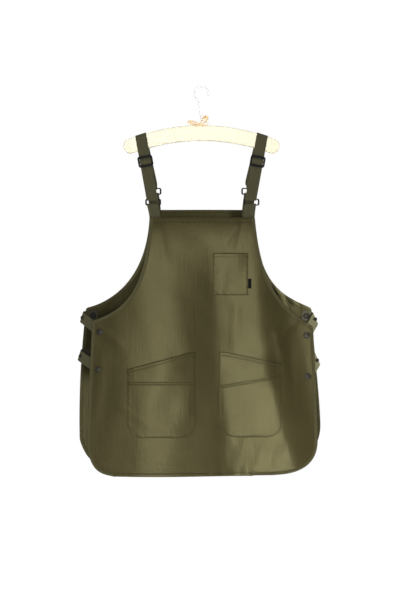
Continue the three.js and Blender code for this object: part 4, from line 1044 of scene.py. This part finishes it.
for side, hand in SIDES:
    top_z = bar_top(STRAP_X)
    slopes = {word: (STRAP_X - RING_X[word]) / (RING_DROP[word] + top_z) for word in ("front", "back")}
    top_tilt = -side * 2 * BAR_SAG * STRAP_X / BAR_END ** 2

    def lean_x(z, word="front"):
        """X of the middle of a leaning strap."""
        return side * (STRAP_X - slopes[word] * (top_z - z))

    def row(y, z, tilt, x=None, half=WEB_W / 2):
        size = math.hypot(1, tilt)
        return ((lean_x(z) if x is None else x, y, z), (half / size, 0, half * tilt / size))

    # Tail end over the slider's bar, down to the front ring and back up over the bar
    leaning = -side * slopes["front"]
    sy, sz = -SLIDER_PLANE, SLIDER_Z
    bar_half, frame_half = SLIDER_BAR / 2, SLIDER_T / 2
    over_bar = frame_half + WEB_T + SEAT + GAP + 0.2
    behind = sy + frame_half + GAP
    rim_in = SLIDER_H / 2 - SLIDER_RIM
    below, above = sz - SLIDER_H / 2 - 4, sz + SLIDER_H / 2 + 4
    ring_z = -RING_DROP["front"] + RING_H / 2 - RING_T / 2
    back_z = -RING_DROP["back"] + RING_H / 2 - RING_T / 2
    snug = GAP + 0.15
    face, rear = sy - frame_half, sy + frame_half
    tail = [
        (face - snug, sz - bar_half + 0.6), (face - snug, sz + bar_half),
        (face - snug * 0.7, sz + bar_half + snug * 0.7), (face, sz + bar_half + snug),
        (rear, sz + bar_half + snug), (rear + snug * 0.7, sz + bar_half + snug * 0.7),
        (rear + snug, sz + bar_half), (rear + snug, sz - bar_half),
        (behind + WEB_T + SEAT + 0.2, sz - rim_in + 2), (behind + WEB_T + SEAT + 0.2, below),
    ]
    rows = [row(y, z, leaning) for y, z in tail]
    turn = [(-RING_PLANE + WRAP, ring_z + 14), *arc(-RING_PLANE, ring_z, WRAP, 0, -180, 6),
            (-RING_PLANE - WRAP * 0.8, ring_z + 14)]
    rows += [row(y, z, 0) for y, z in turn]
    climb = [
        (behind, below), (behind, sz - rim_in + 1), (sy - over_bar, sz - bar_half - 1.2),
        (sy - over_bar, sz + bar_half + 1.2), (behind, sz + rim_in - 1), (behind, above),
        (-STRAP_FACE, top_z - BAR_H - 4),
    ]
    rows += [row(y, z, leaning) for y, z in climb]

    # Over the board and down to the back ring
    over = arc(-BAR_T / 2 + 3, top_z - 3 + 0.3, 3 + GAP, 180, 90, 4)
    over += arc(BAR_T / 2 - 3, top_z - 3 + 0.3, 3 + GAP, 90, 0, 4)
    rows += [row(y, z, top_tilt) for y, z in over]
    knee_x, knee_z = BACK_KNEE[side]
    back_slope = (STRAP_X - knee_x) / (top_z - knee_z)
    for z in (top_z - BAR_H - 4, -210.0, -235.0, knee_z):
        share = (top_z - z) / (top_z - knee_z)
        y = STRAP_FACE + (RING_PLANE + 2 - STRAP_FACE) * max(0.0, (share - 0.35) / 0.65)
        rows += [row(y, z, -side * back_slope, side * (STRAP_X - back_slope * (top_z - z)))]
    pair = WEB_HALF + SEAT / 2
    turn = [(RING_PLANE + pair + 1, back_z + 5), *arc(RING_PLANE, back_z, WRAP, 0, -180, 6)]
    narrow, eye_x = BACK_EYE[side]
    rows += [row(y, z, 0, side * eye_x, narrow) for y, z in turn]
    for rise, half in ((13, 14.0), (27, 14.4)):
        x = side * (STRAP_X - back_slope * (top_z - back_z - rise) + 0.8)
        rows += [row(RING_PLANE - pair, back_z + rise, -side * back_slope, x, half)]
    band(f"strap_web_{hand}", f"strap_{hand}", rows, WEB_T)

    for panel, word in PANELS:
        drop = RING_DROP[word]
        bar_z = -drop - RING_H / 2 + RING_T / 2
        end_x, start_x = LOOP_END[word, side], lean_x(-drop, word)
        hold = clear_depth(panel, end_x, panel["top"], 0, -1, LOOP_TAIL, WEB_W / 2 + 3)
        near = hold - WEB_HALF
        far = near - WEB_T - SEAT
        lip, low = panel["top"] + 4, panel["top"] - LOOP_TAIL
        path = [(near, low), (near, lip), *arc(RING_PLANE, bar_z, WRAP, 0, 180, 6), (far, lip), (far, low)]
        rows = []
        for depth, z in path:
            share = min(1, (bar_z - z) / (bar_z - panel["top"]))
            middle = (start_x + (end_x - start_x) * share, panel["out"] * depth, z)
            rows.append((middle, (WEB_W / 2, 0, 0)))
        band(f"{word}_loop_web_{hand}", f"{word}_loop_{hand}", rows, WEB_T)


# Moulded rings and sliders
def rounded_path(half_x, half_z, radius):
    """Rectangle with round corners."""
    points = []
    for cx, cz, start in ((1, 1, 0), (-1, 1, 90), (-1, -1, 180), (1, -1, 270)):
        for k in range(CORNER_STEPS + 1):
            t = math.radians(start + 90 * k / CORNER_STEPS)
            points.append((cx * (half_x - radius) + radius * math.cos(t),
                           cz * (half_z - radius) + radius * math.sin(t)))
    return np.array(points)


# Half of a frame's section as (share from the outer to the inner loop, share of the half thickness)
CORNER_STEPS = 7
FRAME_SECTION = [(0, 0.55), (0.06, 0.86), (0.2, 1), (0.8, 1), (0.94, 0.86), (1, 0.55)]


def frame_solid(outer, inner, thick):
    """Moulded frame between two loops of equal count, with rounded edges."""
    count = len(outer)
    rings = []
    for share, depth in FRAME_SECTION + [(share, -depth) for share, depth in FRAME_SECTION[::-1]]:
        flat = outer + (inner - outer) * share
        rings.append(np.stack([flat[:, 0], np.full(count, depth * thick / 2), flat[:, 1]], 1))
    verts = np.stack(rings, 1)
    return verts.reshape(-1, 3), ring_faces(count, len(rings), closed=True)


def turned_y(verts, angle):
    """Points turned about Y."""
    c, s = math.cos(angle), math.sin(angle)
    out = verts.copy()
    out[:, 0], out[:, 2] = verts[:, 0] * c + verts[:, 2] * s, -verts[:, 0] * s + verts[:, 2] * c
    return out


def rod(half_x, half_z, half_y):
    """Straight bar along X with rounded flanks and closed ends."""
    sides = 14
    t = np.linspace(0, 2 * math.pi, sides, endpoint=False)
    ny = half_y * np.sign(np.cos(t)) * np.abs(np.cos(t)) ** 0.5
    nz = half_z * np.sign(np.sin(t)) * np.abs(np.sin(t)) ** 0.5
    stations = [(-half_x, 0.8), (-half_x + 0.6, 1), (0, 1), (half_x - 0.6, 1), (half_x, 0.8)]
    verts = np.concatenate([np.stack([np.full(sides, x), ny * s, nz * s], 1) for x, s in stations])
    return verts, ring_faces(len(stations), sides) + end_caps(len(stations), sides)


for side, hand in SIDES:
    top_z = bar_top(STRAP_X)
    slope = (STRAP_X - RING_X["front"]) / (RING_DROP["front"] + top_z)
    for panel, word in PANELS:
        centre = side * RING_X[word] + RING_SLIP[word, side]
        inside = rounded_path(RING_W / 2 - RING_SIDE, RING_H / 2 - RING_T, 2.6)
        verts, faces = frame_solid(rounded_path(RING_W / 2, RING_H / 2, 5.4), inside, RING_T)
        verts = verts + np.array([centre, panel["out"] * RING_PLANE, -RING_DROP[word]])
        make(f"{word}_ring_form_{hand}", verts, faces, BLACK_MAT, (f"{word}_ring_{hand}",))
    rim = rounded_path(SLIDER_W / 2, SLIDER_H / 2, 6.4)
    eye = rounded_path(WEB_W / 2 + 0.4, SLIDER_H / 2 - SLIDER_RIM, 2.0)
    bar = rod(WEB_W / 2 + 2.4, SLIDER_BAR / 2, SLIDER_T * 0.48)
    verts, faces = joined([frame_solid(rim, eye, SLIDER_T), bar])
    verts = turned_y(verts, side * math.atan(slope))
    verts = verts + np.array([side * (STRAP_X - slope * (top_z - SLIDER_Z)), -SLIDER_PLANE, SLIDER_Z])
    make(f"slider_form_{hand}", verts, faces, BLACK_MAT, (f"slider_{hand}",))


# Side tabs and snaps
TAB_W, TAB_T = 26.0, 1.4
CAP_R, CAP_T, STUD_R, STUD_T = 9.0, 3.0, 5.0, 2.4
SNAP_SIDES = 40
# Stud's place round the fold in degrees
STUD_TURN = -64
# Where each tab is snapped on the front, how it rises and its fold tilts, and how far it reaches
TABS = [
    dict(name="upper_left", side=-1, out=0.888, down=0.443, rise=39, tilt=17, reach=58, back=26),
    dict(name="lower_left", side=-1, out=0.9, down=0.588, rise=36, tilt=17, reach=56, back=26),
    dict(name="upper_right", side=1, out=0.918, down=0.456, rise=61, tilt=24, reach=47, back=20),
    dict(name="lower_right", side=1, out=0.93, down=0.616, rise=60, tilt=24, reach=47, back=20),
]


def turned(name, node, profile, spot, facing, material):
    """Round snap part from rows of (radius, height), set on a spot and facing outward."""
    axis = Vector(facing).normalized()
    spin = Vector((0, 0, 1)).rotation_difference(axis)
    verts = []
    for r, h in profile:
        for k in range(SNAP_SIDES):
            t = 2 * math.pi * k / SNAP_SIDES
            p = spin @ Vector((r * math.cos(t), r * math.sin(t), h))
            verts.append((spot[0] + p.x, spot[1] + p.y, spot[2] + p.z))
    rows = len(profile)
    faces = ring_faces(rows, SNAP_SIDES) + end_caps(rows, SNAP_SIDES)
    return make(name, verts, faces, material, (node,))


# Profiles of the snaps as (share of the radius, share of the height), from the foot to the middle
CAP_PROFILE = [(0.9, 0), (0.985, 0.06), (1, 0.2), (0.985, 0.36), (0.93, 0.5), (0.86, 0.56), (0.80, 0.54),
               (0.76, 0.56), (0.72, 0.7), (0.6, 0.86), (0.4, 0.96), (0.2, 1), (0.05, 1)]
STUD_PROFILE = [(0.96, 0), (1, 0.1), (0.98, 0.3), (0.9, 0.4), (0.62, 0.42), (0.55, 0.5), (0.56, 0.75),
                (0.5, 0.95), (0.4, 1), (0.24, 0.97), (0.2, 0.8), (0.05, 0.78)]


def sized(profile, radius, height):
    return [(radius * r, height * h) for r, h in profile]


def unit(v):
    return v / np.linalg.norm(v)


def front_at(x, z):
    return float(front_depth(np.array(x), np.array(z)))


TAB_TAIL, TAB_CLEAR, SLOPE_STEP = 12.0, 14, 5.0
right_tabs = []
for t in TABS:
    side, hand = t["side"], t["name"]
    snap_x = side * t["out"] * PANEL_HALF
    snap_z = front_z(t["down"])
    rise, tilt = math.radians(t["rise"]), math.radians(t["tilt"])
    along = np.array([side * math.cos(rise), 0, math.sin(rise)])
    axis = np.array([-side * math.sin(tilt), 0, math.cos(tilt)])
    outward = np.array([side * math.cos(tilt), 0, math.sin(tilt)])
    across, climb_by = float(along @ outward), float(along @ axis)
    climb_rate = climb_by / across
    returning = outward * -across + axis * climb_by
    half = TAB_W / 2
    near = clear_depth(FRONT, snap_x - along[0] * TAB_TAIL, snap_z - along[2] * TAB_TAIL,
                       along[0], along[2], TAB_TAIL + t["reach"] - TAB_CLEAR, half) - TAB_T / 2
    start = np.array([snap_x, 0, snap_z]) + along * t["reach"]
    rough_turn = near * math.pi * climb_by / across
    stop = start + axis * rough_turn
    far = clear_depth(BACK, stop[0] + returning[0] * 12, stop[2] + returning[2] * 12,
                      returning[0], returning[2], t["back"] + TAB_TAIL - 12, half) - TAB_T / 2
    radius, middle = (near + far) / 2, (far - near) / 2
    upright_half = unit(np.array([-along[2] * side, 0, along[0] * side])) * half
    back_half = unit(np.array([returning[2] * side, 0, -returning[0] * side])) * half
    fold_half = axis * half / across
    rows = []

    def put(base, direction, run, y, size):
        p = base + direction * run
        rows.append(((p[0], y, p[2]), tuple(size)))

    def on_fold(angle):
        p = start + outward * radius * math.cos(angle) + axis * climb_rate * radius * (angle + math.pi / 2)
        p[1] = middle + radius * math.sin(angle)
        return p

    lean = half * abs(climb_rate) + 1
    for run in (-t["reach"] - TAB_TAIL, -t["reach"] * 0.6, -lean):
        put(start, along, run, -near, upright_half)
    for k in range(13):
        rows.append((tuple(on_fold(math.radians(k * 15 - 90))), tuple(fold_half)))
    last = on_fold(math.pi / 2)
    put(last, returning, lean, far, back_half)
    put(last, returning, t["back"] + TAB_TAIL, far, back_half)
    # The legs of the tabs that lie toward the back get painted shade
    tab = band(f"tab_web_{hand}", f"side_tab_{hand}", rows, TAB_T, rounds=2,
               shaded=lambda verts: 0.94 * smooth((verts[..., 1] - 1) / 7))
    if side > 0:
        right_tabs.append(tab)

    turn = math.radians(STUD_TURN)
    facing = outward * math.cos(turn) + np.array([0, math.sin(turn), 0])
    spot = start + axis * climb_rate * radius * (turn + math.pi / 2)
    spot[1] = middle
    spot = spot + facing * (radius + TAB_T / 2 + 0.1)
    turned(f"stud_form_{hand}", f"tab_stud_{hand}", sized(STUD_PROFILE, STUD_R, STUD_T), spot, facing,
           SNAP_MAT)

    slope_x = front_at(snap_x + SLOPE_STEP, snap_z) - front_at(snap_x - SLOPE_STEP, snap_z)
    slope_z = front_at(snap_x, snap_z + SLOPE_STEP) - front_at(snap_x, snap_z - SLOPE_STEP)
    facing = (-slope_x / (2 * SLOPE_STEP), -1.0, -slope_z / (2 * SLOPE_STEP))
    turned(f"cap_form_{hand}", f"front_snap_{hand}", sized(CAP_PROFILE, CAP_R, CAP_T),
           (snap_x, -front_at(snap_x, snap_z) - 0.25, snap_z), facing, SNAP_MAT)
    inside = last + returning * t["back"]
    inside[1] = far - TAB_T / 2 - 0.1
    # The left inner caps take the darker snap material, painted shade
    turned(f"inner_cap_form_{hand}", f"back_snap_{hand}", sized(CAP_PROFILE, CAP_R * 0.9, STUD_T), inside,
           (0, -1, 0), SHADED_SNAP_MAT if side < 0 else SNAP_MAT)


# Hanger
BOARD_SECTION = [(9, 6.0), (4.5, 6.0), (2.6, 5.9), (1.3, 5.4), (0.5, 4.6), (0.0, 3.0)]


def hanger_outline():
    """Closed outline of the board with its round ends."""
    xs = np.linspace(-BAR_END, BAR_END, 61)
    upper = np.stack([xs, bar_top(xs)], 1)
    lean = math.atan(2 * BAR_SAG / BAR_END)
    half = BAR_H / 2
    drop = bar_top(BAR_END) - half
    angles = math.pi / 2 - lean - (math.pi - lean) * np.linspace(0, 1, 25)[1:-1]
    right = np.stack([BAR_END + half * np.cos(angles) * 0.95, drop + half * np.sin(angles)], 1)
    lower = np.stack([xs[::-1], bar_top(xs[::-1]) - BAR_H], 1)
    left = np.stack([-right[::-1, 0], right[::-1, 1]], 1)
    line = even(np.concatenate([upper, right, lower, left, upper[:1]]), 5.0)[:-1]
    for _ in range(2):
        line = 0.25 * np.roll(line, 1, 0) + 0.5 * line + 0.25 * np.roll(line, -1, 0)
    return line


line = hanger_outline()
tangent = unit_rows(np.roll(line, -1, 0) - np.roll(line, 1, 0))
inward = np.stack([tangent[:, 1], -tangent[:, 0]], 1)
layers = []
for inset, depth in BOARD_SECTION + [(0.0, 0.0)] + [(a, -b) for a, b in BOARD_SECTION[::-1]]:
    flat = line + inward * inset
    layers.append(np.stack([flat[:, 0], np.full(len(flat), depth), flat[:, 1]], 1))
faces = ring_faces(len(layers), len(line)) + strip_caps(len(layers), len(line))
board = make("hanger_board", np.concatenate(layers), faces, WOOD_MAT, ("hanger_bar",))


def tube(path, radius, sides, taper=1.0):
    """Round wire along a smooth path, closed at both ends with a dome."""
    path = np.asarray(path, float)
    tangent = unit_rows(np.gradient(path, axis=0))
    side_v = np.cross(tangent, np.array([0.0, 1.0, 0.0]))
    side_v[np.linalg.norm(side_v, axis=1) < 1e-3] = (1, 0, 0)
    side_v = unit_rows(side_v)
    up_v = np.cross(side_v, tangent)
    t = np.linspace(0, 2 * math.pi, sides, endpoint=False)[None, :, None]
    size = np.full(len(path), radius) * taper
    around = side_v[:, None] * np.cos(t) + up_v[:, None] * np.sin(t)
    rings = path[:, None] + size[:, None, None] * around
    ends = []
    for k, sign in ((0, -1), (-1, 1)):
        for share in (0.55, 0.85):
            middle = path[k] + tangent[k] * sign * size[k] * share
            ends.append(middle + (rings[k] - path[k]) * math.sqrt(1 - share ** 2))
    rings = np.concatenate([[ends[1], ends[0]], rings, [ends[2], ends[3]]])
    return rings.reshape(-1, 3), ring_faces(len(rings), sides) + end_caps(len(rings), sides)


def smooth_path(pins, count):
    """Centripetal Catmull-Rom curve through pins."""
    pins = [np.array(p, float) for p in pins]
    pins = [2 * pins[0] - pins[1], *pins, 2 * pins[-1] - pins[-2]]
    out = []
    for a, b, c, d in zip(pins, pins[1:], pins[2:], pins[3:]):
        t0 = 0.0
        t1 = t0 + math.sqrt(np.linalg.norm(b - a))
        t2 = t1 + math.sqrt(np.linalg.norm(c - b))
        t3 = t2 + math.sqrt(np.linalg.norm(d - c))
        for t in np.linspace(t1, t2, count, endpoint=False):
            a1 = (t1 - t) / (t1 - t0) * a + (t - t0) / (t1 - t0) * b
            a2 = (t2 - t) / (t2 - t1) * b + (t - t1) / (t2 - t1) * c
            a3 = (t3 - t) / (t3 - t2) * c + (t - t2) / (t3 - t2) * d
            b1 = (t2 - t) / (t2 - t0) * a1 + (t - t0) / (t2 - t0) * a2
            b2 = (t3 - t) / (t3 - t1) * a2 + (t - t1) / (t3 - t1) * a3
            out.append((t2 - t) / (t2 - t1) * b1 + (t - t1) / (t2 - t1) * b2)
    out.append(pins[-2])
    return np.array(out)


# Hook: round above, then a bent stem down to the board
HOOK_IN, WIRE = 17.0, 3.4
crown = HOOK_IN + WIRE / 2
turns = [math.radians(-15 + 27 * k) for k in range(10)]
pins = [(crown * math.cos(turn), 0, -HOOK_IN + crown * math.sin(turn)) for turn in turns]
foot = -BAR_TOP + SEAT
pins += [(-out * crown, 0, foot * down) for out, down in ((0.42, 0.4), (0.22, 0.62), (0.06, 0.82))]
pins += [(0, 0, foot - 1.5)]
verts, faces = tube(smooth_path(pins, 8), WIRE / 2, 14)
wire = make("hook_wire", verts, faces, WIRE_MAT, ("hanger_hook",))

# Twine bow at the foot of the hook
BOW_AT = np.array([-0.6, -4.6, -100.0])
BOW_LOOPS = [dict(angle=168, long=36, half=5.6, out=3.0), dict(angle=56, long=27, half=8.4, out=2.0)]
BOW_TAILS = [[(0, 0, 0), (-7, -3.4, -2.6), (-15, -3.6, -3.4), (-22, -2.6, -0.4)],
             [(0, 0, 0), (5, -3.6, -3.0), (11, -3.2, -2.2), (19, -1.4, 5.0)]]
TWINE_SIDES = 9
parts = []
for loop in BOW_LOOPS:
    a = math.radians(loop["angle"])
    for k in range(3):
        t = np.linspace(0.12, 2 * math.pi - 0.12, 44)
        run = loop["long"] * (1 - 0.10 * k) * (1 - np.cos(t)) / 2
        wide = loop["half"] * (1 - 0.24 * k) * np.sin(t) * np.sin(t / 2) ** 0.8
        lean = -loop["out"] * np.sin(t / 2) - 1.3 * np.sin(t + 0.9 * k) + 0.9 * (k - 1)
        strand = [run * math.cos(a) - wide * math.sin(a), lean, run * math.sin(a) + wide * math.cos(a)]
        parts.append(tube(BOW_AT + np.stack(strand, 1), 1.45, TWINE_SIDES))
for pins in BOW_TAILS:
    line = BOW_AT + smooth_path(pins, 8)
    parts.append(tube(line, 1.1, TWINE_SIDES, taper=np.linspace(1, 0.8, len(line))))
bow_x, bow_y, bow_z = BOW_AT
t = np.linspace(0, 2 * math.pi * 2.6, 60)
coil = [bow_x + 3.1 * np.cos(t), bow_y * 0.35 + 3.6 * np.sin(t), bow_z + 3.0 - 2.2 * t / (2 * math.pi)]
parts.append(tube(np.stack(coil, 1), 1.15, TWINE_SIDES))
t = np.linspace(0, 2 * math.pi * 1.6, 40)
knot = [bow_x + 1.5 * np.sin(t * 0.5), bow_y - 0.6 + 2.3 * np.cos(t), bow_z + 2.9 * np.sin(t)]
parts.append(tube(np.stack(knot, 1), 1.3, TWINE_SIDES))
verts, faces = joined(parts)
bow = make("twine_bow", verts, faces, TWINE_MAT, ("hanger_bow",))


def light_only(lamp, name, pieces):
    """Links a lamp to a few pieces."""
    lit = bpy.data.collections.new(name)
    for piece in pieces:
        lit.objects.link(piece)
    lamp.light_linking.receiver_collection = lit


# The hanger alone gets the extra light that its pale varnish has in the picture, and light from the
# right falls through the armhole on the back and on the tabs of that side
light_only(hanger_glow, "hanger_lit", (board, wire, bow))
light_only(arm_glow, "armhole_lit", (back_cloth, tapes["back", "right"][0], *right_tabs))
light_only(tab_glow, "tabs_lit", right_tabs)

# Stitches: share of the length, lift and thickness along one stitch
STITCH_SHAPE = [(0.0, -0.34, 0.55), (0.25, 0.16, 1.0), (0.75, 0.16, 1.0), (1.0, -0.34, 0.55)]
STITCH_SIDES = 5


def stitches(name, rows, long=2.7, gap=1.1, radius=0.34):
    """One piece of thread for rows of (points, outward) in mm; each stitch dips in at both ends."""
    starts, ends, outs = [], [], []
    for points, outward in rows:
        points = np.asarray(points, float)
        run = run_of(points)
        count = max(1, int(run[-1] / (long + gap)))
        pitch = run[-1] / count
        a = np.arange(count) * pitch + gap / 2
        starts.append(sample(points, run, a))
        ends.append(sample(points, run, a + pitch - gap))
        outs.append(np.tile(np.asarray(outward, float), (count, 1)))
    a, b, out = np.concatenate(starts), np.concatenate(ends), np.concatenate(outs)
    along = unit_rows(b - a)
    out = unit_rows(out - along * np.sum(out * along, axis=1)[:, None])
    aside = np.cross(along, out)
    rings = []
    for share, lift, thick in STITCH_SHAPE:
        middle = a + (b - a) * share + out * lift
        for k in range(STITCH_SIDES):
            t = 2 * math.pi * k / STITCH_SIDES
            rings.append(middle + radius * thick * (out * math.cos(t) + aside * math.sin(t)))
    verts = np.stack(rings, 1)
    per = verts.shape[1]
    pattern = ring_faces(len(STITCH_SHAPE), STITCH_SIDES) + end_caps(len(STITCH_SHAPE), STITCH_SIDES)
    faces = [tuple(i + base for i in face) for base in range(0, len(a) * per, per) for face in pattern]
    return make(name, verts.reshape(-1, 3), faces, THREAD_MAT)


def on_cloth(panel, flat, lift):
    return lay(panel, np.asarray(flat, float), lift), (0, panel["out"], 0)


def on_inside(panel, flat, lift):
    points, outward = on_cloth(panel, flat, -CLOTH - lift)
    return points, (0, -panel["out"], 0)


def level(x0, x1, z):
    """Points 3 mm apart along a straight row of stitches."""
    xs = np.arange(x0, x1, 3.0)
    return np.stack([xs, np.full(len(xs), z)], 1)


TACK_W, TACK_H, TACK_DROP = 2.0, 16.0, 3.0
TACKS_PX = (152.2, 164.6, 239.8, 252.4)


def bartack(panel, x, z, lift):
    """Rows of short cross stitches one above the other."""
    return [on_cloth(panel, [(x - TACK_W / 2, z - k), (x + TACK_W / 2, z - k - 0.35)], lift)
            for k in np.arange(0, TACK_H, 0.75)]


tape_rows = []
for panel, word in PANELS:
    for side, hand in SIDES:
        piece, line, inward = tapes[word, hand]
        row = (line + inward * TAPE_STITCH)[3:-3]
        tape_rows.append(on_cloth(panel, row, 0.75))
        if panel is BACK:
            tape_rows.append(on_inside(panel, row, 0.75))
stitches("tape_stitching", tape_rows)

hem_rows = []
for panel, left_x, right_x in ((FRONT, -127.0, 131.0), (BACK, -128.0, 129.0)):
    hem_rows.append(on_cloth(panel, level(left_x, right_x, panel["top"] - panel["sewn"]), 0.05))
    left_x, right_x = [panel_edge(panel, side)[-1][0] for side in (-1, 1)]
    hem_z = panel["top"] - PANEL_H + HEM_SEWN
    hem_rows.append(on_cloth(panel, level(left_x - 2, right_x + 2, hem_z), 0.05))
hem_rows.append(on_inside(BACK, level(-128, 129, BACK["top"] - BACK["sewn"]), 0.1))
for px in TACKS_PX:
    hem_rows += bartack(FRONT, (px - MIDDLE_PX) * PIXEL_MM, FRONT["top"] - TACK_DROP, 0.15)
stitches("hem_stitching", hem_rows)

pocket_rows = []
for row, gape, sewn, mouth, seam in pocket_lines:
    def above(flat, extra):
        stand = pocket_lift(row, gape, flat[:, 0], flat[:, 1])
        return on_cloth(FRONT, flat, stand + (POCKET_CLOTH + 0.15) + extra)

    low, high = sorted([row["inner"] * PANEL_HALF, row["outer"] * PANEL_HALF])
    middle_z = (sewn[:, 1].max() + sewn[:, 1].min()) / 2
    centre = np.array([(row["inner"] + row["outer"]) / 2 * PANEL_HALF, middle_z])
    close = even(sewn, 1.5)
    run = unit_rows(np.gradient(close, axis=0))
    toward = np.stack([-run[:, 1], run[:, 0]], 1)
    toward *= np.sign(np.sum(toward * (centre - close), axis=1))[:, None]
    inner_line = relax(close + toward * EDGE_SEAM, 4)
    pocket_rows.append(above(inner_line[2:-2], 0.1))
    edge_line = even(mouth, 3.0)
    x = edge_line[:, 0]
    edge_line = edge_line[(np.abs(x - mouth[0, 0]) > 3) & (np.abs(x - mouth[-1, 0]) > 3)]
    pocket_rows.append(above(edge_line - np.array([0, MOUTH_SEAM]), 0.0))
    if seam is not None:
        xs = np.arange(low + 4, high - 4, 3.0)
        zs = np.interp(xs, seam[:, 0], seam[:, 1])
        for drop in (0.0, SEAM_PAIR):
            pocket_rows.append(above(np.stack([xs, zs - drop], 1), 0.0))
stitches("pocket_stitching", pocket_rows, long=2.5, gap=1.1, radius=0.32)

bpy.context.view_layer.update()
